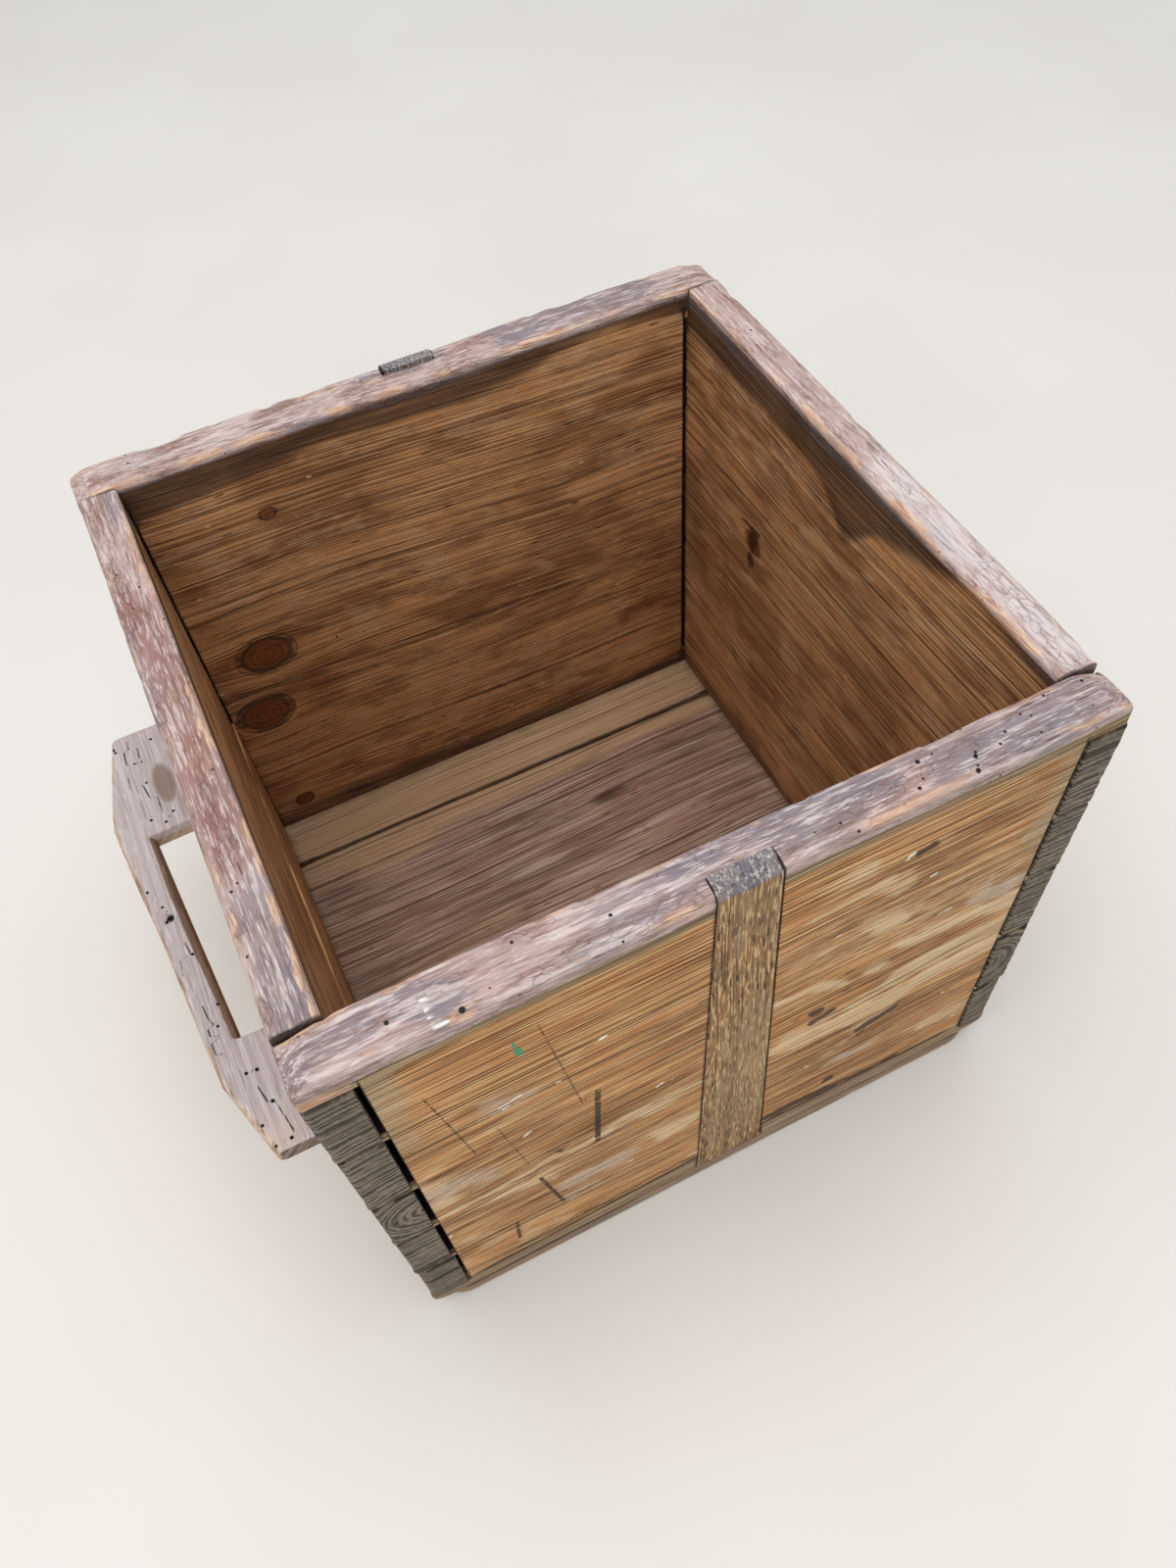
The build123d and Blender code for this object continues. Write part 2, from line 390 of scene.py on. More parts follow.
@dataclass(frozen=True)
class EndRound:
    """A rounded end: its reach and how much of it each side draws in (outer, inner, low, high)."""

    reach: float = 0.8
    sides: tuple[float, float, float, float] = (1.0, 1.0, 1.0, 1.0)


@dataclass
class Surface:
    """A carried section as a grid of stations by section points, before it becomes a timber."""

    run: Run
    along: Array
    wide: Array
    thick: Array
    lean: Array
    normal: Array
    state: dict[str, Array] = field(default_factory=dict)

    def world(self) -> Array:
        """Places of the grid's points in the crate's frame.

        Returns:
            Points, three in the last axis.
        """
        places = np.empty(self.along.shape + (3,))
        for axis, values in zip(self.run.value, (self.along, self.wide, self.thick)):
            places[..., axis] = values
        return places

    def ends(self) -> Array:
        """How far each point faces along the length: 0 on a side, 1 on an end face."""
        return np.abs(np.sin(self.lean))

    def push(self, amount: Array) -> None:
        """Moves each point along its outward direction, which leans from the section to the length at an end.

        Args:
            amount: Distance outwards at each point.
        """
        flat = np.cos(self.lean)
        self.thick = self.thick + amount * self.normal[..., 0] * flat
        self.wide = self.wide + amount * self.normal[..., 1] * flat
        self.along = self.along + amount * np.sin(self.lean)

    def timber(self) -> Timber:
        """Joins neighbours into quads, round the section and along it, and closes both ends with a strip.

        Returns:
            The timber, with its quads facing outwards.
        """
        stations, around = self.along.shape
        index = np.arange(stations * around).reshape(stations, around)
        beside = np.roll(index, -1, axis=1)
        body = np.stack([index[:-1], beside[:-1], beside[1:], index[1:]], -1).reshape(-1, 4)
        half = np.arange(around // 2 - 1)
        strip = np.stack([half, half + 1, around - 2 - half, around - 1 - half], -1)
        quads = np.concatenate([body, strip[:, ::-1], strip + index[-1, 0]])
        points = self.world().reshape(-1, 3)
        a, b, c, d = (points[quads[:, k]] for k in range(4))
        volume = np.einsum("ij,ij->", a, np.cross(b, c) + np.cross(c, d))
        if volume < 0:
            quads = quads[:, ::-1]
        state = {name: np.asarray(values).reshape(-1, *values.shape[2:]) for name, values in self.state.items()}
        return Timber(points, quads, state)


Section = Callable[[Array], tuple[Array, Array | Sequence[float] | float]]


@dataclass(frozen=True)
class Plank:
    """A four-cornered section with rounded edges, carried along its length and closed at both ends.

    The section gives its corners and their radii at each station. Corners run from the outer low one to the outer
    high, inner high and inner low ones, each as (thick, wide).
    """

    run: Run
    stations: Array
    section: Section
    step: float = 2.0
    start: EndRound = EndRound()
    end: EndRound = EndRound()
    arc: int = 4
    strip: int = 4
    rings: int = 6
    rows: Callable[[Array], Array] | None = None

    def _lengthwise(self) -> tuple[Array, Array, Array, Array]:
        """Stations with the rounded ends added.

        An end's place is its reach times one less the sine of the lean, and it draws in by one less the cosine.

        Returns:
            Place along, lean, rounded share per side and the share by which the end face has closed.
        """
        turn = np.radians([75.0, 60.0, 45.0, 30.0, 15.0])
        closing = np.linspace(0.985, 0.0, self.rings)
        first, last = self.stations[0], self.stations[-1]
        inner = self.stations[
            (self.stations > first + self.start.reach * 1.01) & (self.stations < last - self.end.reach * 1.01)
        ]
        flat, quarter = np.zeros(self.rings), np.full(self.rings, np.pi / 2)
        place = np.concatenate([
            flat + first, first + self.start.reach * (1 - np.sin(turn)), inner,
            last - self.end.reach * (1 - np.sin(turn[::-1])), flat + last,
        ])
        lean = np.concatenate([-quarter, -turn, np.zeros(len(inner)), turn[::-1], quarter])
        shrink = np.concatenate([closing, np.zeros(2 * len(turn) + len(inner)), closing[::-1]])
        draw = 1 - np.cos(lean)
        at_start = (np.arange(len(place)) < len(place) // 2)[:, None]
        at_first, at_last = (end.reach * np.array(end.sides) for end in (self.start, self.end))
        sides = np.where(at_start, at_first, at_last)
        return place, lean, draw[:, None] * sides, shrink

    def surface(self) -> Surface:
        """Carries the section along the stations.

        Straight runs are shares of an edge and a rounded corner is a curve pulled towards it, the square of what is
        left times the start, twice the product times the corner and the square of the share times the end.

        Returns:
            The grid of points with their outward directions.
        """
        place, lean, draw, shrink = self._lengthwise()
        inside = np.clip(place, self.stations[0] + 1e-3, self.stations[-1] - 1e-3)
        corners, radii = (np.array(part, float) for part in self.section(inside))
        inwards = np.sign(corners[:, 3, 0] - corners[:, 0, 0])
        upwards = np.sign(corners[:, 1, 1] - corners[:, 0, 1])
        narrow = np.minimum(
            np.abs(corners[:, [3, 2], 0] - corners[:, [0, 1], 0]).min(1),
            np.abs(corners[:, [1, 2], 1] - corners[:, [0, 3], 1]).min(1),
        )
        close = shrink * (narrow / 2 - draw[:, :2].max(1))
        outer, inner_, low, high = (inwards * (draw[:, 0] + close), -inwards * (draw[:, 1] + close),
                                    upwards * (draw[:, 2] + close), -upwards * (draw[:, 3] + close))
        corners[:, :, 0] += np.stack([outer, outer, inner_, inner_], 1)
        corners[:, :, 1] += np.stack([low, high, high, low], 1)
        following = np.roll(corners, -1, axis=1)
        way = following - corners
        span = np.linalg.norm(way, axis=2)
        way = way / np.maximum(span, 1e-6)[..., None]
        reach = np.minimum(np.maximum(radii - close[:, None], 0.02), 0.45 * np.minimum(span, np.roll(span, 1, axis=1)))
        aside = np.stack([way[..., 1], -way[..., 0]], -1)
        middle = corners.mean(1, keepdims=True)
        aside *= np.sign((((corners + following) / 2 - middle) * aside).sum(-1, keepdims=True))

        width = np.abs(corners[:, 1, 1] - corners[:, 0, 1]).max()
        count = max(4, int(width / self.step))
        rows = self.rows(inside) if self.rows else np.tile((np.arange(count) + 0.5) / count, (len(inside), 1))
        near = (np.arange(self.strip) + 0.5) / self.strip / 2
        bend = np.linspace(0.0, 1.0, self.arc + 1)

        def straight(edge: int, shares: Array) -> tuple[Array, Array]:
            """Places at shares of an edge between its rounded corners.

            Args:
                edge: Number of the edge, which starts at the corner of that number.
                shares: Shares of the way, the same or its own row for each station.

            Returns:
                Places and outward directions.
            """
            head = corners[:, edge] + reach[:, edge, None] * way[:, edge]
            nxt = (edge + 1) % 4
            tail = corners[:, nxt] - reach[:, nxt, None] * way[:, edge]
            shares = np.atleast_2d(shares)
            spots = head[:, None] + (tail - head)[:, None] * shares[..., None]
            return spots, np.repeat(aside[:, edge][:, None], shares.shape[1], axis=1)

        def turned(corner: int) -> tuple[Array, Array]:
            """The rounded corner as a curve pulled towards it.

            Args:
                corner: Number of the corner.

            Returns:
                Places and outward directions.
            """
            head = corners[:, corner] - reach[:, corner, None] * way[:, corner - 1]
            tail = corners[:, corner] + reach[:, corner, None] * way[:, corner]
            s = bend[None, :, None]
            spots = (1 - s) ** 2 * head[:, None] + 2 * s * (1 - s) * corners[:, corner][:, None] + s**2 * tail[:, None]
            out = (1 - s) * aside[:, corner - 1][:, None] + s * aside[:, corner][:, None]
            return spots, out / np.linalg.norm(out, axis=2, keepdims=True)

        loop = [
            straight(3, 0.5 + near), turned(0), straight(0, rows), turned(1), straight(1, near),
            straight(1, 0.5 + near), turned(2), straight(2, 1 - rows[:, ::-1]), turned(3), straight(3, near),
        ]
        spots = np.concatenate([part[0] for part in loop], axis=1)
        normal = np.concatenate([part[1] for part in loop], axis=1)
        shape = spots.shape[:2]
        return Surface(
            self.run, np.broadcast_to(place[:, None], shape).copy(), spots[..., 1], spots[..., 0],
            np.broadcast_to(lean[:, None], shape).copy(), normal,
        )


def boxed(outer: Array, inner: Array, low: Array, high: Array) -> Array:
    """Corners of a square-cornered section from its two faces and two edges."""
    outer, inner, low, high = np.broadcast_arrays(outer, inner, low, high)
    return np.stack([np.stack(pair, -1) for pair in ((outer, low), (outer, high), (inner, high), (inner, low))], 1)


def spaced(first: float, last: float, step: float, features: Sequence[float] = ()) -> Array:
    """Stations at an even step, with those near a feature dropped and the features put in.

    Args:
        first: Start of the length.
        last: End of the length.
        step: Distance between stations.
        features: Places that need a station of their own.

    Returns:
        Rising stations.
    """
    even = np.linspace(first, last, max(2, int((last - first) / step)))
    if not len(features):
        return even
    fixed = np.array(features)
    clear = np.abs(even[:, None] - fixed[None, :]).min(1) > 0.45 * step
    clear[[0, -1]] = True
    return np.unique(np.concatenate([even[clear], fixed]))


def end_grain(ends: Array) -> Array:
    """How far end grain shows, from how far a point faces along the length."""
    return ends * smooth(0.5, 0.9, ends)


@dataclass(frozen=True)
class Grain:
    """How a board was cut from its tree: the pith's place in its section, the slope of the grain and its knots."""

    pith: tuple[float, float]
    slope: float = 0.0
    wander: float = 5.0
    seed: int = 1
    knots: tuple[Knot, ...] = ()

    def apply(self, surface: Surface) -> None:
        """Works out the growth rings and fibres at each point.

        The ring is the distance from the pith across the section, drifting along the length. A knot pushes the
        fibres aside as a post does a stream: four fifths of the offset from it, times its radius squared over the sum
        of that and the distance squared.

        Args:
            surface: Grid that gets the states "ring", "fibre", "knot" and "eye", the distance from a knot's middle.
        """
        along, wide, thick = surface.along, surface.wide, surface.thick
        line = np.stack([along, wide * 0.35, np.zeros_like(along)], -1)
        drift = self.wander * Mottle(self.seed, (170.0, 60.0, 60.0)).layered(line, 2)
        across = wide + self.slope * along + drift
        knotty = np.zeros_like(along)
        eye = np.full_like(along, 60.0)
        for knot in self.knots:
            offset = wide - knot.across
            square = ((along - knot.along) / 1.2) ** 2 + offset**2
            across = across - offset * 0.8 * knot.radius**2 / (square + knot.radius**2)
            knotty = np.maximum(knotty, 1 - smooth(0.6, 2.0, np.sqrt(square) / knot.radius))
            eye = np.minimum(eye, np.sqrt(square))
        surface.state["ring"] = np.hypot(across - self.pith[0], thick - self.pith[1])
        surface.state["eye"] = eye
        surface.state["fibre"] = np.stack([along + FIBRE_SHIFT * self.seed, across, thick], -1)
        surface.state["knot"] = knotty


# Distance over which wide and narrow years follow each other, and between the rings round a knot, drawn coarser than
# real ones so that the camera can show them
SEASON_MM, EYE_WAVE_MM = 12.0, 4.4

# Length, width and depth in millimetres of the noises that follow the fibres; hair and fine are drawn coarser than
# real fibres, which the camera could not show
STREAKS: Mapping[str, tuple[float, float, float]] = {
    "hair": (70.0, 1.2, 2.0),
    "fine": (140.0, 2.0, 3.0),
    "streak": (210.0, 7.0, 8.0),
    "cloud": (95.0, 46.0, 34.0),
    "blot": (40.0, 20.0, 16.0),
    "scuff": (18.0, 5.0, 5.0),
    "dry": (14.0, 1.5, 1.8),
    "frizz": (11.0, 0.8, 0.9),
    "fray": (34.0, 3.0, 3.0),
    "patch": (46.0, 11.0, 11.0),
}


@dataclass(frozen=True)
class Dash:
    """Marks strewn through the wood: the cell each lies in, its reach as a share of it and how many cells have one."""

    cell_mm: tuple[float, float, float]
    reach: float
    share: float


# Short marks along the fibres, and round holes where the cell is a cube; a hole is about 1.8 mm across
DASHES: Mapping[str, Dash] = {
    "pore": Dash((19.0, 2.0, 2.0), 0.30, 0.75),
    "check": Dash((30.0, 6.0, 2.4), 0.16, 0.30),
    "fleck": Dash((20.0, 9.0, 4.0), 0.11, 0.24),
    "worm": Dash((9.0, 9.0, 9.0), 0.10, 0.07),
    "bore": Dash((9.0, 9.0, 9.0), 0.10, 0.4),
}


@dataclass(frozen=True)
class Layer:
    """A tone laid over those below it where a pattern, added to a state of the wood, passes a threshold.

    The tone is a hex colour or a whole coat. The weight says how far the pattern breaks up the state's edge.
    """

    tone: "str | Coat"
    pattern: str = ""
    low: float = 0.0
    high: float = 1.0
    cover: float = 1.0
    state: str = ""
    weight: float = 1.0


@dataclass(frozen=True)
class Coat:
    """A ground colour and the layers over it, from the bottom up."""

    ground: str
    layers: tuple[Layer, ...] = ()


def coat(ground: str, *rows: tuple) -> Coat:
    """Makes a coat from its ground and rows of its layers' values, from the bottom up."""
    return Coat(ground, tuple(Layer(*row) for row in rows))


class Weave:
    """The node tree of one wood, with the states and patterns built in it so far."""

    def __init__(self, tree: Tree, ring_mm: float) -> None:
        """Starts an empty weave.

        Args:
            tree: Node tree that gets the nodes.
            ring_mm: Distance between growth rings.
        """
        self.tree = tree
        self.ring_mm = ring_mm
        self.built: dict[str, Socket] = {}

    def add(self, kind: str, *inputs: object, output: str | int = 0, **settings: object) -> Socket:
        """Adds a node, fills its first inputs in their order and gives one of its outputs.

        Args:
            kind: Blender's name for the node, less its leading ShaderNode.
            inputs: Numbers, colours or sockets for the first inputs.
            output: Name or place of the output.
            settings: Properties of the node and their values.

        Returns:
            The output's socket.
        """
        return add_node(self.tree, f"ShaderNode{kind}", settings, dict(enumerate(inputs))).outputs[output]

    def product(self, *factors: Socket) -> Socket:
        """Multiplies sockets, one after the other."""
        return reduce(lambda one, two: self.add("Math", one, two, operation="MULTIPLY"), factors)

    def state(self, name: str, output: str = "Fac") -> Socket:
        """Reads one of the mesh's states, once for each tree.

        Args:
            name: Name of the mesh's attribute.
            output: "Fac" for a number, "Vector" for a direction or place.

        Returns:
            Socket with the state.
        """
        if name not in self.built:
            self.built[name] = self.add("Attribute", output=output, attribute_name=name)
        return self.built[name]

    def pattern(self, name: str) -> Socket:
        """Builds a pattern by its name, once for each tree.

        Args:
            name: A streak, a dash, "ring", "eye", "line", "pit" or "crackle".

        Returns:
            Socket with the pattern from 0 to 1.
        """
        key = f"pattern_{name}"
        if key not in self.built:
            if name in STREAKS:
                self.built[key] = self._streak(STREAKS[name])
            elif name in DASHES:
                self.built[key] = self._dash(DASHES[name])
            else:
                self.built[key] = getattr(self, f"_{name}")()
        return self.built[key]

    def _along(self, size: tuple[float, float, float]) -> Socket:
        """Fibre coordinates measured in a pattern's own size."""
        return self.add("VectorMath", self.state("fibre", "Vector"), [1 / mm for mm in size], operation="MULTIPLY")

    def _streak(self, size: tuple[float, float, float]) -> Socket:
        """Noise drawn out along the fibres."""
        inputs = {"Vector": self._along(size), "Scale": 1.0, "Detail": 2.0, "Roughness": 0.6}
        return add_node(self.tree, "ShaderNodeTexNoise", None, inputs).outputs[0]

    def _dash(self, dash: Dash) -> Socket:
        """Draws marks at scattered points, in those cells whose own chance falls under the share.

        Args:
            dash: Size, reach and share of the marks.

        Returns:
            Socket that is 1 in a mark and 0 outside it.
        """
        cells = add_node(self.tree, "ShaderNodeTexVoronoi", None, {"Vector": self._along(dash.cell_mm), "Scale": 1.0})
        chosen = self.add("Math", cells.outputs["Color"], dash.share, operation="LESS_THAN")
        ramp = (dash.reach * 0.65, dash.reach, 1.0, 0.0)
        shape = self.add("MapRange", cells.outputs["Distance"], *ramp, interpolation_type="SMOOTHSTEP")
        return self.product(chosen, shape)

    def _ring(self) -> Socket:
        """Growth rings: each one darkens to a late line, rings differ in strength and the lines fade here and there.

        Returns:
            Socket that is 1 in a strong late line.
        """
        ring = self.state("ring")
        year = self.add("Math", ring, 1 / SEASON_MM, operation="MULTIPLY")
        season = add_node(
            self.tree, "ShaderNodeTexNoise", {"noise_dimensions": "1D"}, {"W": year, "Scale": 1.0, "Detail": 1.0}
        )
        uneven = self.add("Math", season.outputs[0], 9.0, ring, operation="MULTIPLY_ADD")
        wavy = self.add("Math", self.pattern("fine"), 1.1, uneven, operation="MULTIPLY_ADD")
        turns = self.add("Math", wavy, self.ring_mm, operation="DIVIDE")
        within = self.add("Math", turns, operation="FRACT")
        count = self.add("Math", turns, operation="FLOOR")
        chance = add_node(self.tree, "ShaderNodeTexWhiteNoise", {"noise_dimensions": "1D"}, {"W": count})
        return self.product(
            self.add("MapRange", chance.outputs[0], 0.0, 1.0, 0.45, 1.0),
            self.add("MapRange", within, 0.2, 0.72, interpolation_type="SMOOTHSTEP"),
            self.add("MapRange", within, 0.84, 1.0, 1.0, 0.0, interpolation_type="SMOOTHSTEP"),
            self.add("MapRange", self.pattern("streak"), 0.33, 0.55, 0.4, 1.0),
        )

    def _eye(self) -> Socket:
        """Rings round a knot: a wave in the distance from its middle.

        Returns:
            Socket from 0 to 1.
        """
        turns = self.add(
            "Math", self.state("eye"), 2 * np.pi / EYE_WAVE_MM, self.pattern("scuff"), operation="MULTIPLY_ADD"
        )
        return self.add("Math", self.add("Math", turns, operation="SINE"), 0.5, 0.5, operation="MULTIPLY_ADD")

    def _line(self) -> Socket:
        """Scratches: full within half of a scratch's width, gone at its edge, times the scratch's strength.

        Returns:
            Socket that is 1 in a strong scratch.
        """
        beside = self.add("Math", self.state("gap"), operation="ABSOLUTE")
        within = self.add("MapRange", beside, 0.5, 1.0, 1.0, 0.0)
        worn = self.add("MapRange", self.pattern("dry"), 0.34, 0.56, 0.05, 1.0)
        return self.product(self.state("mark"), within, worn)

    def _pit(self) -> Socket:
        """Beetle holes: full within three quarters of a hole's radius, gone just past its edge."""
        away = self.add("VectorMath", self.state("pit", "Vector"), output="Value", operation="LENGTH")
        return self.add("MapRange", away, 0.75, 1.1, 1.0, 0.0)

    def _crackle(self) -> Socket:
        """Cracks in old stain: the borders of cells 9 mm long and 4 mm wide, in some patches only.

        Returns:
            Socket that is 1 in a crack.
        """
        inputs = {"Vector": self._along((9.0, 4.0, 4.0)), "Scale": 1.0}
        cells = add_node(self.tree, "ShaderNodeTexVoronoi", {"feature": "DISTANCE_TO_EDGE"}, inputs)
        border = self.add("MapRange", cells.outputs["Distance"], 0.015, 0.06, 1.0, 0.0)
        return self.product(border, self.add("MapRange", self.pattern("patch"), 0.50, 0.58))

    def share(self, layer: Layer) -> Socket:
        """How much of a layer shows: its pattern's weight plus its state, ramped smoothly between its thresholds.

        Args:
            layer: Layer of a coat.

        Returns:
            Socket from 0 to the layer's cover.
        """
        value = self.pattern(layer.pattern) if layer.pattern else self.state(layer.state)
        if layer.pattern and layer.state:
            value = self.add("Math", value, layer.weight, self.state(layer.state), operation="MULTIPLY_ADD")
        return self.add("MapRange", value, layer.low, layer.high, 0.0, layer.cover, interpolation_type="SMOOTHSTEP")

    def paint(self, coat: Coat) -> "Socket | str":
        """Lays a coat's layers over its ground.

        Args:
            coat: Ground and layers; a layer's tone may be a coat itself.

        Returns:
            The mixed colour, or the bare ground.
        """
        colour = coat.ground
        for layer in coat.layers:
            tone = layer.tone if isinstance(layer.tone, str) else self.paint(layer.tone)
            inputs = {0: self.share(layer), 6: colour, 7: tone}
            colour = add_node(self.tree, "ShaderNodeMix", {"data_type": "RGBA"}, inputs).outputs[2]
        return colour

    def height(self, relief: Sequence[tuple[str, float]]) -> "Socket | float":
        """Sums patterns into one height, each by its own weight.

        Args:
            relief: Names and weights of the patterns.

        Returns:
            Socket with the height.
        """
        total = 0.0
        for name, weight in relief:
            total = self.add("Math", self.pattern(name), weight, total, operation="MULTIPLY_ADD")
        return total


def blank_material(name: str) -> tuple[Material, Tree]:
    """Makes a material with an empty node tree.

    Args:
        name: Name of the real material.

    Returns:
        The material and its tree.
    """
    material = bpy.data.materials.new(name)
    material.use_nodes = True
    material.node_tree.nodes.clear()
    return material, material.node_tree


def add_surface(tree: Tree, inputs: Mapping[str, object]) -> None:
    """Adds the surface shader with its inputs and joins it to the material's output."""
    shader = add_node(tree, "ShaderNodeBsdfPrincipled", None, inputs)
    add_node(tree, "ShaderNodeOutputMaterial", None, {"Surface": shader.outputs[0]})


@dataclass(frozen=True)
class WoodFinish:
    """Old wood: its coats of colour, its growth rings and the relief that they leave on the surface."""

    name: str
    coat: Coat
    ring_mm: float
    relief: tuple[tuple[str, float], ...]
    relief_mm: float
    rough: float

    def build(self) -> Material:
        """Builds the material: colour from the coats, bump from the relief, sheen from the fine streaks.

        Returns:
            The finished material.
        """
        material, tree = blank_material(self.name)
        weave = Weave(tree, self.ring_mm)
        bump = {"Strength": 0.8, "Distance": self.relief_mm * MM, "Height": weave.height(self.relief)}
        add_surface(tree, {
            "Base Color": weave.paint(self.coat),
            "Roughness": weave.add("MapRange", weave.pattern("fine"), 0.3, 0.7, self.rough - 0.1, self.rough + 0.12),
            "Normal": add_node(tree, "ShaderNodeBump", None, bump).outputs[0],
            "Specular IOR Level": 0.3,
        })
        return material


HOLE = "#0f0906"
# Dark brown laid where the state of grime and shade is high. It covers dirt and dark joints, and it is also painted
# shade in the tails' sockets and on the floor boards' edges
GRIME_AND_SHADE = "#36241c"

# Sawn across the growth rings and grey-brown with age
END_GRAIN = coat("#7a6c5b",
    ("#5a4e41", "cloud", 0.44, 0.60, 0.6), ("#9c8e7b", "hair", 0.54, 0.64, 0.5),
    ("#2f251c", "ring", 0.06, 0.55, 0.95), ("#2a211a", "check", 0.0, 1.0, 0.8),
)
# Red-brown stain gone rosy grey, slate where hands held it and rubbed pale along the grain
RIM_STAIN = coat("#b29a95",
    ("#8a665f", "patch", 0.47, 0.60, 0.65), ("#c9a893", "blot", 0.57, 0.67, 0.5),
    ("#8a8289", "cloud", 0.56, 0.66, 0.7), ("#77707a", "scuff", 0.62, 1.10, 0.75, "slate", 0.8),
    ("#7d5048", "fray", 0.60, 1.15, 0.8, "ruddy", 0.8), ("#d2c4c0", "fray", 0.53, 0.61, 0.6),
    ("#e0d6d2", "frizz", 0.55, 0.63, 0.5), ("#7d5d55", "dry", 0.55, 0.63, 0.5), ("#5b443d", "hair", 0.55, 0.63, 0.45),
    ("#dcd5d4", "dry", 0.80, 1.35, 0.75, "ash", 1.2), ("#42302b", "crackle", 0.0, 1.0, 0.3),
    ("#3f2d28", "check", 0.0, 1.0, 0.7), (HOLE, "bore"),
)
# Fresh wood where an edge has lost its stain
BARE_EDGE = coat("#c9a388",
    ("#a3744f", "hair", 0.48, 0.62, 0.75), ("#e4c9ae", "dry", 0.52, 0.64, 0.6), ("#8d6a58", "fray", 0.54, 0.62, 0.5),
)
# Outside faces gone grey-tan where water ran and feet knocked
TAN_PINE = coat("#ad9370",
    ("#8a7251", "streak", 0.46, 0.60, 0.6), ("#5b472c", "ring", 0.10, 0.75, 0.8),
    ("#cfba94", "hair", 0.54, 0.62, 0.6), ("#64503a", "fine", 0.54, 0.62, 0.5),
)
# Outside faces worn through the oil to straw
STRAW_PINE = coat("#dabc90",
    ("#c39b66", "blot", 0.52, 0.66, 0.5), ("#86663f", "ring", 0.10, 0.80, 0.7), ("#93744b", "fine", 0.55, 0.63, 0.45),
    ("#f0dfbe", "hair", 0.54, 0.62, 0.5),
)
# A thin film of dried lime or flour, pale grey over the grain
ASH_FILM = coat("#b9a38d",
    ("#93785c", "fine", 0.50, 0.62, 0.6), ("#d2c3b3", "dry", 0.52, 0.64, 0.6),
)
# Inside faces, brown from handling and dirt
BROWN_PINE = coat("#ca9360",
    ("#8a5a35", "cloud", 0.44, 0.58, 0.75), ("#cfa479", "blot", 0.53, 0.65, 0.6),
    ("#6e4529", "patch", 0.54, 0.64, 0.35), ("#3f2410", "ring", 0.10, 0.80, 0.6),
    ("#432713", "fine", 0.54, 0.62, 0.5), ("#dfb68b", "hair", 0.54, 0.62, 0.45),
    ("#6b4427", "scuff", 0.57, 0.67, 0.35), ("#3d2414", "check", 0.0, 1.0, 0.7), ("#e0c7a4", "fleck", 0.0, 1.0, 0.7),
)
# A branch sawn across: red-brown, faintly ringed and cracked
KNOT = coat("#844c22",
    ("#4c260f", "eye", 0.15, 0.9, 0.4), ("#5b2f14", "scuff", 0.48, 0.62, 0.5), ("#2b150a", "check", 0.0, 1.0, 0.9),
)

# Old pine, planed by hand, oiled and stained at the rim: blotched honey with fine dark lines, brown within
OLD_PINE = WoodFinish(
    name="old_oiled_pine", ring_mm=3.0, relief_mm=0.5, rough=0.6,
    relief=(("ring", -0.8), ("hair", 1.0), ("check", -1.2), ("bore", -1.5), ("pit", -2.0), ("crackle", -0.5)),
    coat=coat("#c08449",
        ("#97602e", "cloud", 0.44, 0.62, 0.75), ("#cd9c63", "blot", 0.52, 0.68, 0.6),
        ("#d8ad74", "streak", 0.57, 0.68, 0.35), ("#4c2c0c", "ring", 0.10, 0.70, 0.92),
        ("#50300f", "fine", 0.53, 0.60, 0.72), ("#eec68b", "hair", 0.54, 0.61, 0.65),
        ("#4a2e14", "check", 0.0, 1.0, 0.85), ("#efe6d6", "fleck", 0.0, 1.0, 0.75),
        (STRAW_PINE, "dry", 0.78, 1.25, 0.92, "straw", 1.2), (TAN_PINE, "dry", 0.75, 1.25, 0.92, "tan", 1.2),
        (ASH_FILM, "dry", 0.80, 1.35, 0.8, "ash", 1.2), (BROWN_PINE, "", 0.3, 0.7, 1.0, "inside"),
        ("#3a1c0c", "eye", 1.02, 1.5, 0.5, "knot"), ("#2c1508", "scuff", 0.85, 1.05, 0.7, "knot", 0.7),
        (KNOT, "scuff", 1.12, 1.30, 0.92, "knot", 0.7), (END_GRAIN, "", 0.3, 0.8, 1.0, "cut"),
        (RIM_STAIN, "fray", 0.62, 0.95, 0.95, "stain", 0.7), (BARE_EDGE, "dry", 0.76, 0.98, 0.85, "bare"),
        (GRIME_AND_SHADE, "fine", 0.45, 1.15, 0.85, "soot", 0.5), ("#3d210f", "dry", 0.80, 1.10, 0.93, "brown", 0.6),
        ("#21150f", "line", 0.08, 0.6, 0.95), ("#2f8f6a", "dry", 0.75, 0.95, 0.95, "paint", 0.5),
        # The near-black layer on the dark state is painted shade in the gaps of the dovetails
        ("#f2f1ec", "dry", 0.98, 1.15, 0.9, "chalk", 0.9), ("#080504", "", 0.35, 0.9, 1.0, "dark"), (HOLE, "worm"),
        (HOLE, "pit"),
    ),
)
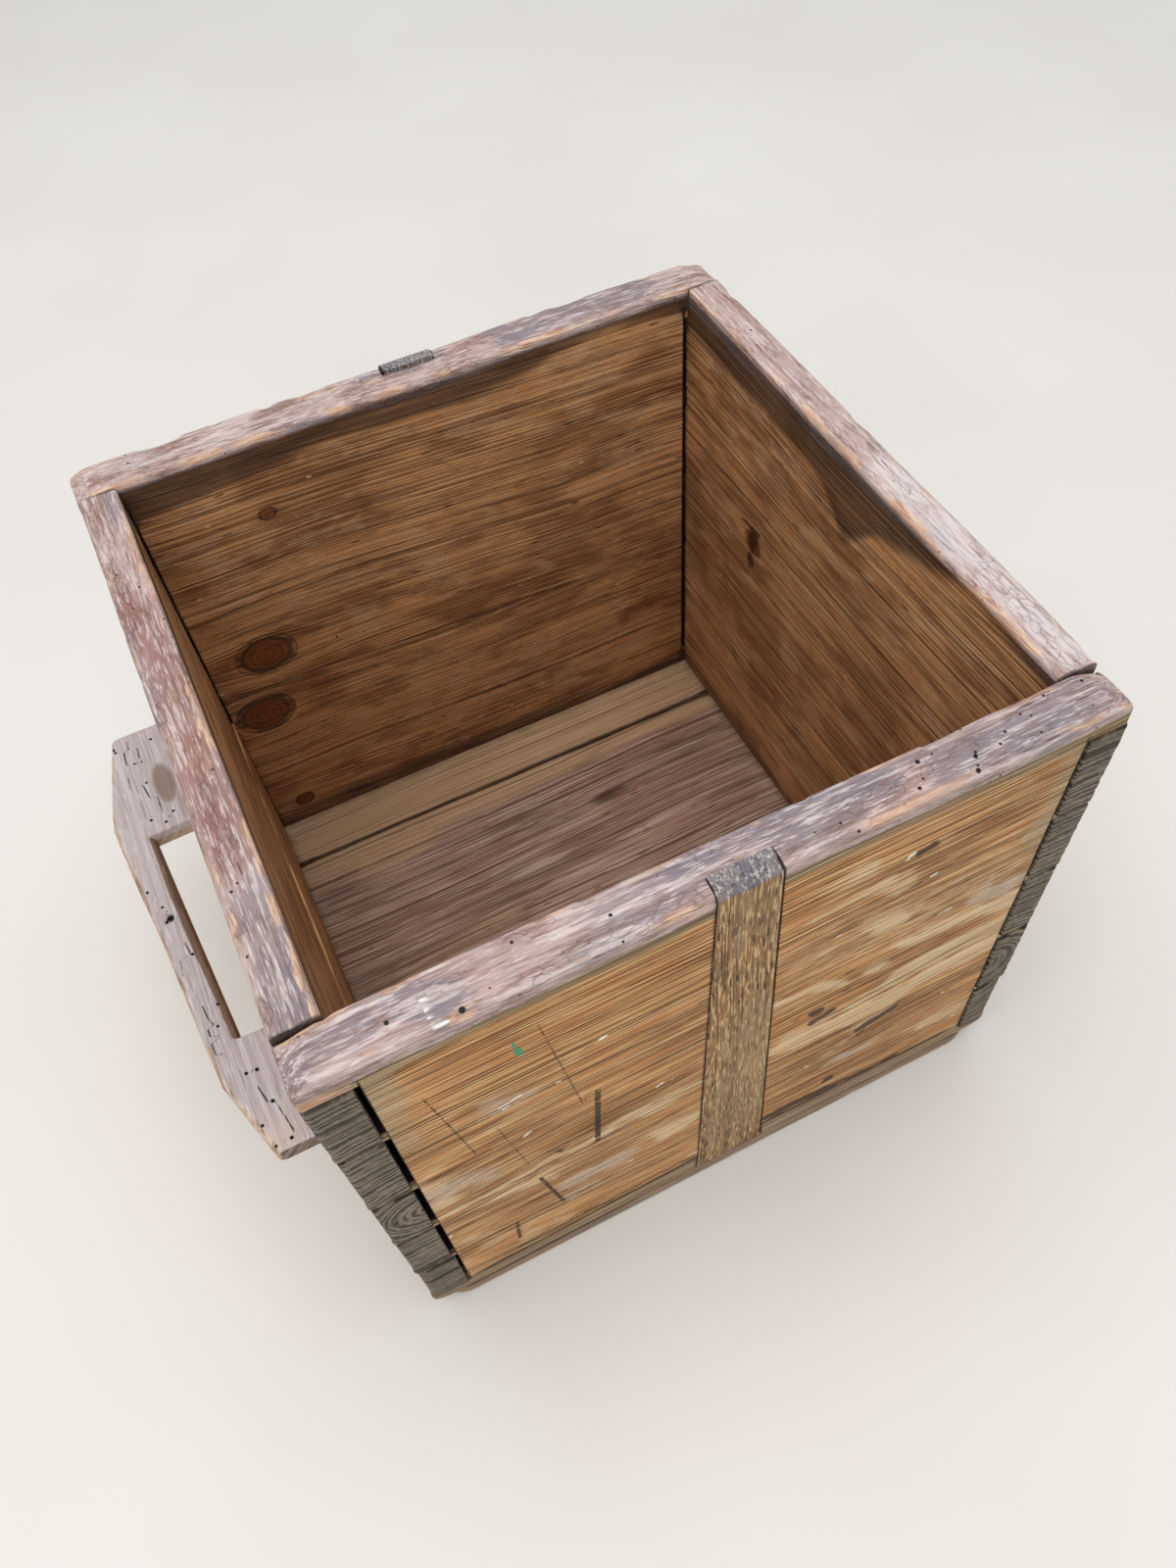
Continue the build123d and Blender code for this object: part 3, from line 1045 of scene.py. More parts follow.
# Pine floor: dry, dusty and never oiled, so duller and greyer than the walls
FLOOR_PINE = WoodFinish(
    name="dusty_pine", ring_mm=2.4, relief_mm=0.35, rough=0.72,
    relief=(("ring", 0.7), ("hair", 0.8), ("check", -1.0), ("worm", -2.0)),
    coat=coat("#ab8c7a",
        ("#8f6c5a", "cloud", 0.42, 0.58, 0.75), ("#b89a86", "streak", 0.53, 0.66, 0.5),
        ("#593e30", "ring", 0.05, 0.80, 0.85), ("#4d362b", "fine", 0.53, 0.62, 0.6),
        ("#d0b8a5", "hair", 0.54, 0.64, 0.6), ("#4a342a", "check", 0.0, 1.0, 0.6),
        (coat("#c2a07c",
            ("#7d5f43", "ring", 0.05, 0.85, 0.7), ("#d4b896", "hair", 0.54, 0.68, 0.5),
        ), "fine", 0.62, 1.0, 0.9, "tan", 0.8),
        (END_GRAIN, "", 0.3, 0.8, 0.65, "cut"), (GRIME_AND_SHADE, "scuff", 0.45, 1.15, 0.85, "soot", 0.5), (HOLE, "worm"),
    ),
)
# Oak key: riven and planed, open pores that hold dirt as short flecks along the grain
OAK_KEY = WoodFinish(
    name="oiled_oak", ring_mm=6.0, relief_mm=0.5, rough=0.6,
    relief=(("pore", -1.2), ("dry", 0.8), ("hair", 0.4)),
    coat=coat("#8f6b40",
        ("#7c5a32", "cloud", 0.42, 0.58, 0.7), ("#cfae7c", "dry", 0.51, 0.57, 0.85),
        ("#6d4f2c", "ring", 0.05, 0.85, 0.4), ("#2e1c0c", "pore", 0.0, 1.0, 0.95),
        ("#432b13", "hair", 0.53, 0.60, 0.8), (TAN_PINE, "scuff", 0.80, 1.10, 0.3, "tan", 0.8),
        (END_GRAIN, "", 0.3, 0.8, 1.0, "cut"),
        (coat("#82797a",
            ("#60626b", "blot", 0.48, 0.58, 0.8), ("#cbc0b6", "dry", 0.54, 0.62, 0.75),
            ("#352b28", "hair", 0.54, 0.64, 0.6),
        ), "scuff", 0.66, 0.92, 0.95, "stain", 0.7),
        (BARE_EDGE, "scuff", 0.90, 1.05, 0.9, "bare", 0.9), ("#1b120c", "fine", 0.42, 0.9, 0.98, "soot", 0.4),
    ),
)
# Handle plank: left bare to weather, silver grey with black drying cracks and beetle holes, orange where hands wore it
GREY_PLANK = WoodFinish(
    name="weathered_plank", ring_mm=3.6, relief_mm=0.5, rough=0.75,
    relief=(("hair", 0.9), ("ring", -0.5), ("line", -1.5), ("pit", -3.0)),
    coat=coat("#b9aeb0",
        ("#afa3a4", "cloud", 0.44, 0.60, 0.6), ("#d3cbcd", "streak", 0.54, 0.66, 0.4),
        ("#9a8d8b", "ring", 0.10, 0.85, 0.4), ("#90827e", "hair", 0.55, 0.64, 0.5),
        ("#dcd5d7", "dry", 0.56, 0.65, 0.4), ("#857673", "fray", 0.60, 0.68, 0.5),
        (coat("#b29c88",
            ("#86705d", "ring", 0.05, 0.85, 0.6), ("#c7b39e", "hair", 0.54, 0.68, 0.5),
        ), "", 0.3, 0.8, 1.0, "inside"),
        ("#c8b7a9", "fine", 0.70, 1.0, 0.6, "tan", 0.8), (END_GRAIN, "", 0.3, 0.8, 0.8, "cut"),
        (coat("#77604f",
            ("#4a3528", "hair", 0.50, 0.66, 0.7), ("#9a836f", "dry", 0.54, 0.66, 0.5),
        ), "scuff", 0.66, 0.92, 0.95, "stain", 0.7),
        (coat("#c6a88e",
            ("#94745a", "hair", 0.48, 0.62, 0.75), ("#dcc8b5", "dry", 0.52, 0.64, 0.6),
            ("#6f5744", "fray", 0.54, 0.62, 0.6),
        ), "fray", 0.86, 1.04, 0.95, "bare", 0.9),
        ("#7d6857", "fine", 0.45, 0.9, 0.8, "soot", 0.4), ("#1d1512", "line", 0.1, 0.7, 0.95), (HOLE, "pit"),
    ),
)


@dataclass(frozen=True)
class IronFinish:
    """Wrought iron gone brown with rust: matt, with darker pits."""

    name: str = "rusted_iron"
    rust: str = "#5a3a28"
    scale: str = "#2c231f"
    pit_mm: float = 1.5

    def build(self) -> Material:
        """Mixes rust and black scale by a noise of the pits' size.

        Returns:
            The finished material.
        """
        material, tree = blank_material(self.name)
        place = add_node(tree, "ShaderNodeTexCoord").outputs["Object"]
        inputs = {"Vector": place, "Scale": 1 / (self.pit_mm * MM), "Detail": 4.0}
        pits = add_node(tree, "ShaderNodeTexNoise", None, inputs).outputs[0]
        spread = add_node(tree, "ShaderNodeMapRange", None, {0: pits, 1: 0.35, 2: 0.65}).outputs[0]
        colour = add_node(tree, "ShaderNodeMix", {"data_type": "RGBA"}, {0: spread, 6: self.scale, 7: self.rust})
        bump = add_node(tree, "ShaderNodeBump", None, {"Strength": 0.6, "Distance": 0.3 * MM, "Height": pits})
        add_surface(tree, {
            "Base Color": colour.outputs[2], "Metallic": 0.4, "Roughness": 0.8, "Normal": bump.outputs[0],
        })
        return material


@dataclass(frozen=True)
class StudioFinish:
    """Pale matt studio paper under the crate."""

    name: str = "pale_paper"
    paper: str = "#e4e1db"
    mottle: str = "#dad6cf"
    cloud_mm: float = 260.0

    def build(self) -> Material:
        """Mixes two near tones by a broad noise.

        Returns:
            The finished material.
        """
        material, tree = blank_material(self.name)
        place = add_node(tree, "ShaderNodeTexCoord").outputs["Object"]
        inputs = {"Vector": place, "Scale": 1 / (self.cloud_mm * MM)}
        cloud = add_node(tree, "ShaderNodeTexNoise", None, inputs).outputs[0]
        colour = add_node(tree, "ShaderNodeMix", {"data_type": "RGBA"}, {0: cloud, 6: self.paper, 7: self.mottle})
        add_surface(tree, {"Base Color": colour.outputs[2], "Roughness": 0.9, "Specular IOR Level": 0.2})
        return material


def make_piece(name: str, node: str, timber: Timber, material: Material) -> None:
    """Makes a timber a Blender object that stands for its CAD node and rides on the crate's one body.

    Args:
        name: Name of the new piece.
        node: CAD node that it replaces.
        timber: Points, quads and state.
        material: Finish of the piece.
    """
    mesh = bpy.data.meshes.new(name)
    count = len(timber.quads)
    mesh.vertices.add(len(timber.points))
    mesh.vertices.foreach_set("co", (timber.points * MM).astype(np.float32).ravel())
    mesh.loops.add(4 * count)
    mesh.loops.foreach_set("vertex_index", timber.quads.astype(np.int32).ravel())
    mesh.polygons.add(count)
    mesh.polygons.foreach_set("loop_start", np.arange(0, 4 * count, 4, dtype=np.int32))
    mesh.polygons.foreach_set("use_smooth", np.ones(count, dtype=bool))
    mesh.update(calc_edges=True)
    mesh.set_sharp_from_angle(angle=np.radians(38.0))
    for state, values in timber.state.items():
        vector = values.ndim == 2
        attribute = mesh.attributes.new(state, "FLOAT_VECTOR" if vector else "FLOAT", "POINT")
        attribute.data.foreach_set("vector" if vector else "value", values.astype(np.float32).ravel())
    mesh.materials.append(material)
    piece = bpy.data.objects.new(name, mesh)
    bpy.context.scene.collection.objects.link(piece)
    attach(piece, "root")
    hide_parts(node)
    LOG.info("%s: %d quads for %s", name, count, node)


@dataclass(frozen=True)
class KeyGroove:
    """The tapered groove that a key slides in: its edges at the rim and at the foot, and its depth."""

    top: tuple[float, float] = (-15.5, 18.5)
    foot: tuple[float, float] = (-20.0, 29.0)
    depth: float = 11.0
    easing: float = 70.0

    @staticmethod
    def fall(z: Array) -> Array:
        """Share of the way down from the rim to the foot of the wall."""
        return (RIM_Z - z) / (RIM_Z - FOOT_Z)

    def edges(self, fall: Array) -> list[Array]:
        """Left and right edge of the groove at shares of the way down."""
        return [top + fall * (foot - top) for top, foot in zip(self.top, self.foot)]

    def holds(self, x: Array) -> Array:
        """Whether stations lie in the groove as it is at the rim, or just past its edges."""
        return (x > self.top[0] - 0.25) & (x < self.top[1] + 0.25)

    def taper(self, along: Array, wide: Array) -> Array:
        """Sideways shift that turns upright grid lines into the key's tapering edges.

        It grows with the distance below the rim and fades to nothing away from the key.

        Args:
            along: Places along the wall.
            wide: Heights on the wall.

        Returns:
            Shift along the wall.
        """
        places = (self.top[0] - self.easing, *self.top, self.top[1] + self.easing)
        spread = (0.0, self.foot[0] - self.top[0], self.foot[1] - self.top[1], 0.0)
        return np.clip(self.fall(wide), 0.0, 1.0) * np.interp(along, places, spread)

    def edge_gap(self, x: Array, z: Array) -> Array:
        """Distance from the nearer edge of the key on the wall's face."""
        left, right = self.edges(np.clip(self.fall(z), 0.0, 1.0))
        return np.minimum(np.abs(x - left), np.abs(x - right))


@dataclass(frozen=True)
class EndWall:
    """Front or back wall: two boards with a sloping seam, pins at both ends and a groove for the key."""

    name: str
    outer_y: float
    inwards: float
    seam: tuple[float, float]
    sockets: tuple[float, float]
    seed: int
    step: float
    upper_grain: Grain
    lower_grain: Grain
    groove: KeyGroove = KeyGroove()
    split_depth: float = 0.0
    split_height: float = 33.5
    split_rise: float = 6.0
    rim_out: WornEdge = WornEdge(5.0, 1.2, 3.0, 200.0)
    rim_in: WornEdge = WornEdge(3.2, 0.9, 2.5, 600.0)
    marks: Marks = ()
    brown: Marks = ()
    faded: Marks = ()
    ashen: Marks = ()
    holes: Holes = ()
    slate: Marks = ()
    paint: Marks = ()
    chalk: Marks = ()
    nicks: Marks = ()

    def _seam_at(self, x: Array) -> Array:
        """Height of the seam between the boards, a straight slope from end to end."""
        return self.seam[0] + (x - LEFT_X) / (RIGHT_X - LEFT_X) * (self.seam[1] - self.seam[0])

    def _split_at(self, x: Array) -> Array:
        """Height of the long split above the wall's foot, highest near the key and a little ragged."""
        ragged = 1.2 * Mottle(self.seed + 31, (42.0, 9.0, 9.0)).layered(on_line(x, 0), 3)
        return self.split_height + self.split_rise * hump(x - 15.0, 90.0) + ragged

    def _split_rows(self, x: Array) -> Array:
        """Rows of the lower board, close together along the split and even elsewhere.

        Args:
            x: Places along the wall.

        Returns:
            Shares of the board's face, a row for each place.
        """
        low, high, split = FOOT_Z + 1.5, self._seam_at(x)[:, None] - 0.65, self._split_at(x)[:, None]
        below = np.linspace(0.04, 1.0, 8)
        fine = np.array([-2.0, -1.4, -0.9, -0.5, -0.2, 0.1, 0.4, 0.8, 1.3, 2.0])
        above = np.linspace(0.0, 0.99, int(118.0 / self.step))
        heights = np.concatenate(
            [low + (split - 3.0 - low) * below, split + fine, split + 3.0 + (high - split - 3.0) * above], axis=1
        )
        return (heights - low) / (high - low)

    def _plate(self) -> tuple[float, float]:
        """Shoulders between which the wall is whole."""
        return LEFT_X + self.sockets[0], RIGHT_X - self.sockets[1]

    def _inner_y(self) -> float:
        """Place of the inner face."""
        return self.outer_y + self.inwards * END_WALL

    def _stations(self) -> Array:
        """Stations with pairs at the shoulders and at the key's groove.

        Returns:
            Rising places along the wall.
        """
        edges = [shoulder + side * 0.1 for shoulder in self._plate() for side in (-1, 1)]
        for edge, side in zip(self.groove.top, (-1, 1)):
            edges += [edge + side * 0.35, edge + side * 0.15]
        return spaced(LEFT_X - PIN_PROUD, RIGHT_X + PIN_PROUD, self.step, edges)

    def _shape(self, upper: bool) -> Surface:
        """Carries one board's section from end to end, with its half pins, its groove and its wear.

        Args:
            upper: Whether it is the board with the rim.

        Returns:
            The board's grid.
        """
        plate = self._plate()
        chips = Mottle(self.seed + 3, (11.0, 50.0, 50.0))
        swell = Mottle(self.seed + 5, (95.0, 50.0, 50.0))

        def section(x: Array) -> tuple[Array, Array | Sequence[float]]:
            """Section at a station: whole in the plate, a half pin beyond it, thinner in the groove.

            The rim's edges are worn round and chipped, the others barely broken.

            Args:
                x: Places along the wall.

            Returns:
                Corners and their radii at each place.
            """
            middle = (x > plate[0]) & (x < plate[1])
            grooved = self.groove.holds(x)
            outer = self.outer_y + self.inwards * (self.groove.depth + 0.3) * grooved
            tip = np.maximum(np.abs(x) - 196.0, 0.0)
            if not upper:
                high = np.where(middle, self._seam_at(x) - SLACK, FOOT_Z + BOTTOM_HALF_PIN)
                box = boxed(outer, self._inner_y(), FOOT_Z + 0.03 * tip**2, high)
                box[:, 2, 1] += np.where(middle, 0.0, PIN_FLARE)
                return box, (1.5, 0.5, 0.5, 0.5)
            top = RIM_Z + 0.5 * swell.at(on_line(x, 0)) - 0.02 * tip**2
            low = np.where(middle, self._seam_at(x) + SLACK, RIM_Z - TOP_HALF_PIN)
            box = boxed(outer, self._inner_y(), low, top)
            box[:, 3, 1] -= np.where(middle, 0.0, PIN_FLARE)
            rim_out, rim_in = (edge.at(swell, chips, x, 0) for edge in (self.rim_out, self.rim_in))
            small = np.full_like(x, 0.5)
            return box, np.stack([small, np.where(grooved, small, rim_out), rim_in, small], 1)

        end = EndRound(2.6, (1.0, 0.25, 0.3, 0.8))
        rows = self._split_rows if self.split_depth and not upper else None
        return Plank(
            Run.END_WALL, self._stations(), section, self.step, end, end, arc=5, strip=6, rows=rows
        ).surface()

    def _pin(self, height: float, left: bool) -> Surface:
        """Carries a pin's section, thin at the outer face, from inside the plate to the crate's side.

        Args:
            height: Height of the pin's middle.
            left: Whether it is at the left end.

        Returns:
            The pin's grid.
        """
        outer_x, socket = (LEFT_X - PIN_PROUD, self.sockets[0]) if left else (RIGHT_X + PIN_PROUD, -self.sockets[1])
        shoulder = self._plate()[0 if left else 1]
        near, far = sorted((outer_x, shoulder + np.sign(socket) * 5.0))

        def section(x: Array) -> tuple[Array, float]:
            """Trapezium of the pin, drawn in a little where it is buried in the plate.

            Args:
                x: Places along the wall.

            Returns:
                Corners at each place and their radius.
            """
            buried = 0.5 * ((x > shoulder) if left else (x < shoulder))
            thin, broad = PIN_FACE / 2 - buried, PIN_FACE / 2 + PIN_FLARE - buried
            sunk = self.inwards * buried
            box = boxed(height - thin, height + thin, self.outer_y + sunk, self._inner_y() - sunk)
            box[:, 1, 0], box[:, 2, 0] = height - broad, height + broad
            return box, 0.3

        ends = [EndRound(1.6, (0.1, 0.1, 1.0, 0.2)), EndRound(0.2)]
        stations = spaced(near, far, 2.0, (shoulder - 0.1, shoulder + 0.1))
        turned = ends if left else ends[::-1]
        return Plank(Run.FLAT, stations, section, 2.0, *turned, arc=2, strip=2, rings=3).surface()

    def _dress(self, surface: Surface, grain: Grain, pin: bool) -> Timber:
        """Carves the wear into a grid and works out the wood's state at each point.

        Args:
            surface: Grid of a board or a pin.
            grain: Rings and fibres of the board.
            pin: Whether the grid is a pin, whose faces lie the other way.

        Returns:
            The finished timber.
        """
        if not pin:
            surface.along = surface.along + self.groove.taper(surface.along, surface.wide)
        places = surface.world()
        x, y, z = np.moveaxis(places, -1, 0)
        depth = np.clip((y - self.outer_y) * self.inwards / END_WALL, 0.0, 1.0)
        ends = surface.ends()
        broad = Mottle(self.seed + 11, (130.0, 60.0, 40.0)).layered(places, 3)
        dents = Mottle(self.seed + 13, (17.0, 11.0, 9.0)).at(places)
        ridges = Mottle(self.seed + 19, (90.0, 40.0, 7.0)).at(places)
        blots = Mottle(self.seed + 37, (46.0, 30.0, 26.0)).layered(places, 3)
        specks = Mottle(self.seed + 41, (7.0, 7.0, 5.0)).at(places)
        down = RIM_Z - z
        rim = 1.0 - smooth(4.0, 16.0, down)
        split = self._split_at(x)
        split_open = self.split_depth * (1 - smooth(0.12, 0.2, depth)) * smooth(0.0, 22.0, 184.0 - np.abs(x))
        split_open = split_open * (0.75 + 0.45 * dents)
        amount = 0.25 * broad + 0.12 * ridges - 0.6 * rim * smooth(0.4, 0.9, dents)
        amount = amount - split_open * hump(z - split, 0.9)
        amount = amount - 1.5 * rim * smooth(186.0, 204.0, np.abs(x)) * smooth(-0.3, 0.7, dents)
        surface.push(np.where(ends > 0.5, 0.3 * amount, amount))

        inside = smooth(0.45, 0.75, depth)
        outside = 1.0 - smooth(0.02, 0.1, depth)
        seam_gap = np.abs(z - self._seam_at(x))
        key_gap = self.groove.edge_gap(x, z)
        edge_out = np.hypot(down, depth * END_WALL)
        edge_in = np.hypot(down, (1 - depth) * END_WALL)
        from_left, from_right = x - LEFT_X - self.sockets[0], RIGHT_X - self.sockets[1] - x
        shoulder = np.minimum(np.abs(from_left), np.abs(from_right))
        tips = smooth(190.0, 208.0, np.abs(x))
        state = surface.state
        state["inside"] = inside
        state["stain"] = np.where(
            depth > 0.93, 1 - smooth(3.0, 12.0, down + 5.0 * broad), 1 - smooth(5.0, 11.5, down + 4.0 * broad)
        )
        bare_out = hump(edge_out - 2.5, 2.8) * (0.22 + 0.35 * dents + 0.35 * tips)
        bare_in = hump(edge_in - 1.5, 2.4) * (0.34 + 0.4 * dents)
        state["bare"] = (bare_out + bare_in) * (down < 14.0) + 0.6 * (x < LEFT_X + 24.0) * hump(down - 14.0, 4.0)
        worn_x, worn_z = x + 16.0 * broad + 6.0 * dents, z + 8.0 * blots + 2.5 * dents
        state["straw"] = outside * np.clip(
            Mark.strongest(self.faded, worn_x, worn_z) + 0.45 * smooth(0.3, 0.9, blots)
            + 0.3 * hump(seam_gap, 8.0), 0.0, 1.0,
        )
        state["ash"] = outside * Mark.strongest(self.ashen, worn_x, worn_z)
        state["tan"] = outside * np.clip(
            0.9 * hump(down - 13.0 - 2.5 * broad, 6.5)
            + 0.9 * (1 - smooth(0.5, 3.0, z - split)) * (self.split_depth > 0)
            + 0.2 * hump(seam_gap, 6.0)
            + 0.55 * smooth(158.0, 186.0, np.abs(x) + 10.0 * blots) * smooth(230.0, 290.0, z)
            + 0.6 * pin, 0.0, 1.0,
        )
        band = 1 - smooth(12.0, 30.0, down + 11.0 * broad - 9.0 * smooth(20.0, 160.0, -x))
        # Darkening laid with the grime colour: a stain run under the rim inside, dark lines along the key's edges, the
        # seam and the split, darker below the split, the inside darker towards the bottom and near the floor, and dark
        # lines at the inner corners
        state["soot"] = np.clip(
            0.8 * inside * band * (0.2 + 0.8 * smooth(2.0, 6.5, down))
            + outside * (0.85 * hump(key_gap, 0.9) + 1.0 * hump(seam_gap, 1.0) * smooth(-0.7, 0.1, broad))
            + 0.55 * inside * hump(seam_gap, 0.8)
            + inside * 0.5 * (1 - smooth(4.0, 26.0, z - FOOT_Z + 8.0 * broad))
            + inside * 0.22 * (1 - smooth(40.0, 330.0, z))
            + outside * 0.45 * (z < split) * (self.split_depth > 0)
            + 1.6 * split_open / max(self.split_depth, 1.0) * hump(z - split, 1.5)
            + 0.5 * inside * hump(shoulder, 2.0) * (down > 8.0), 0.0, 1.0,
        )
        state["gap"], strength = Mark.nearest(self.marks, x, z)
        state["mark"] = outside * strength
        state["slate"] = rim * Mark.strongest(self.slate, x + 8.0 * broad + 4.0 * dents, y + 5.0 * blots)
        state["paint"] = outside * Mark.strongest(self.paint, x, z)
        state["chalk"] = np.where(inside > 0.5, Mark.strongest(self.nicks, x, z), Mark.strongest(self.chalk, x, z))
        state["brown"] = outside * Mark.strongest(self.brown, x + 5.0 * dents, z + 2.2 * specks)
        state["pit"] = np.where((down < 3.0)[..., None], Hole.nearest(self.holes, x, y), Hole.nearest((), x, y))
        state["cut"] = end_grain(ends)
        # Painted shade: near-black lines at the shoulders, where the gaps between the tails' end grain and the sockets
        # lie in shadow, and near-black over a pin's faces that hide behind the tails
        state["dark"] = hump(np.minimum(from_left, from_right), 0.3) * (1 - rim) * (z > FOOT_Z + BOTTOM_HALF_PIN)
        if pin:
            state["dark"] = smooth(0.04, 0.12, depth) * (1 - smooth(0.3, 0.7, ends))
        grain.apply(surface)
        if pin:
            # A pin lies the other way up, so its fibres and rings take the board's own across and depth
            state["fibre"] = np.stack([x + FIBRE_SHIFT * grain.seed, z, y], -1)
            state["ring"] = np.hypot(z - grain.pith[0], y - grain.pith[1])
        return surface.timber()

    def boards(self, material: Material) -> None:
        """Builds both boards with the pins that each one carries.

        Args:
            material: Finish of the boards.
        """
        for upper, grain in ((True, self.upper_grain), (False, self.lower_grain)):
            parts = [self._dress(self._shape(upper), grain, False)]
            for pins, left, end in ((LEFT_PINS, True, LEFT_X), (RIGHT_PINS, False, RIGHT_X)):
                seam = float(self._seam_at(np.array(end)))
                parts += [self._dress(self._pin(pin, left), grain, True) for pin in pins if (pin > seam) == upper]
            board = f"{self.name}_{'upper' if upper else 'lower'}_board"
            make_piece(f"worn_{board}", board, Timber.joined(parts), material)


@dataclass(frozen=True)
class SideBoard:
    """One board of a side wall: its edges, the tails it carries as (low, high) and how its tree grew."""

    node: str
    low: float
    high: float
    thickness: float
    tails: tuple[tuple[float, float], ...]
    grain: Grain


@dataclass(frozen=True)
class SideWall:
    """Left or right wall: boards whose tails run through the front and back walls."""

    outer_x: float
    inwards: float
    boards: tuple[SideBoard, ...]
    seed: int
    step: float
    scars: Marks = ()
    slate: Marks = ()
    ashen: Marks = ()
    ruddy: Marks = ()
    drip: tuple[float, float, float] = (0.0, 0.0, 0.0)
    rim_out: WornEdge = WornEdge(4.2, 1.2, 3.0, 200.0)
    rim_in: WornEdge = WornEdge(3.2, 1.0, 2.5, 600.0)

    def _panel(self, board: SideBoard) -> Surface:
        """Carries the board's section between the front and back walls, with a worn rim where it has one.

        Args:
            board: Board of the wall.

        Returns:
            The panel's grid.
        """
        reach = FRONT_Y + END_WALL
        rimmed = board.high >= RIM_Z
        inner_x = self.outer_x + self.inwards * board.thickness
        chips = Mottle(self.seed + 3, (50.0, 12.0, 50.0))
        swell = Mottle(self.seed + 5, (50.0, 90.0, 50.0))

        def section(y: Array) -> tuple[Array, Array | Sequence[float]]:
            """Section at a station, its rim a little wavy, worn and chipped and its seam a little open.

            Args:
                y: Places along the wall.

            Returns:
                Corners and their radii at each place.
            """
            top = board.high + (0.5 * swell.at(on_line(y, 1)) if rimmed else -SLACK)
            low = board.low + (SLACK if board.low > FOOT_Z else 0.0)
            box = boxed(np.full_like(y, self.outer_x), inner_x, low, top)
            if not rimmed:
                return box, (0.5, 0.6, 1.2, 0.5)
            rim_out, rim_in = (edge.at(swell, chips, y, 1) for edge in (self.rim_out, self.rim_in))
            small = np.full_like(y, 0.5)
            return box, np.stack([small, rim_out, rim_in, small], 1)

        end = EndRound(0.35)
        stations = spaced(reach + SLACK, -reach - SLACK, self.step)
        return Plank(Run.SIDE_WALL, stations, section, self.step, end, end, arc=5, strip=6).surface()

    def _tail(self, board: SideBoard, low: float, high: float, front: bool) -> Surface:
        """Carries a tail's section, spreading towards its end, from the panel out through the wall.

        Args:
            board: Board that carries the tail.
            low: Height of its lower cheek at the outer face.
            high: Height of its upper cheek there.
            front: Whether it is at the front.

        Returns:
            The tail's grid.
        """
        # Only the lowest tail is as thick as a board that stands in
        thickness = board.thickness if low < LOWEST_TAIL else SIDE_WALL
        turn = 1.0 if front else -1.0
        root_y = turn * (FRONT_Y + END_WALL)
        tip_y = turn * (FRONT_Y - TAIL_PROUD)
        inner_x = self.outer_x + self.inwards * thickness
        hidden_y = root_y + turn * 4.0
        near, far = sorted((tip_y, hidden_y))
        wobble = Mottle(self.seed + int(low) + 29 * front, (6.0, 6.0, 6.0))

        def section(y: Array) -> tuple[Array, Array]:
            """Tail at a station: its cheeks follow the pins, and it is drawn in where the panel hides it.

            Its edges are nibbled unevenly, less so at the inner face.

            Args:
                y: Places along the tail.

            Returns:
                Corners and their radii at each place.
            """
            out = np.clip((root_y - y) * turn / END_WALL, 0.0, 1.0)
            buried = 0.6 * ((y - root_y) * turn > 0.0)
            squeeze, sunk = PIN_FLARE * (1 - out) + SLACK, self.inwards * buried
            box = boxed(self.outer_x + sunk, inner_x - sunk, low + squeeze + buried, high - squeeze - buried)
            bite = 0.5 + 0.4 * wobble.at(on_line(y, 0, low))
            return box, np.stack([bite, bite, bite * 0.6, bite * 0.6], 1)

        worn = 3.4 + 1.6 * float(wobble.at(np.array([[low, high, 7.0]]))[0]) + (4.0 if low < FOOT_Z + 20.0 else 0.0)
        tip = EndRound(worn, (1.0, 0.12, 0.14, 0.14))
        root = EndRound(0.2)
        stations = spaced(near, far, 2.0, (root_y - 0.05, root_y + 0.05))
        ends = (tip, root) if tip_y < hidden_y else (root, tip)
        return Plank(Run.SIDE_WALL, stations, section, 2.0, *ends, arc=3, strip=4, rings=7).surface()

    def _dress(self, surface: Surface, board: SideBoard) -> Timber:
        """Carves the wear into a grid and works out the wood's state at each point.

        Args:
            surface: Grid of a panel or a tail.
            board: Board that it belongs to.

        Returns:
            The finished timber.
        """
        places = surface.world()
        x, y, z = np.moveaxis(places, -1, 0)
        depth = np.clip((x - self.outer_x) * self.inwards / board.thickness, 0.0, 1.0)
        ends = surface.ends()
        broad = Mottle(self.seed + 11, (40.0, 120.0, 55.0)).layered(places, 3)
        dents = Mottle(self.seed + 13, (9.0, 16.0, 11.0)).at(places)
        ridges = Mottle(self.seed + 19, (40.0, 90.0, 7.0)).at(places)
        blots = Mottle(self.seed + 37, (30.0, 46.0, 26.0)).layered(places, 3)
        saw = Mottle(self.seed + 23, (14.0, 9.0, 2.6)).at(places)
        down = RIM_Z - z
        rim = 1.0 - smooth(4.0, 16.0, down)
        amount = 0.25 * broad + 0.12 * ridges - 0.6 * rim * smooth(0.4, 0.9, dents)
        tip = ends * (np.abs(y) > BACK_Y - TAIL_END)
        surface.push(np.where(ends > 0.5, tip * 0.35 * saw, amount))

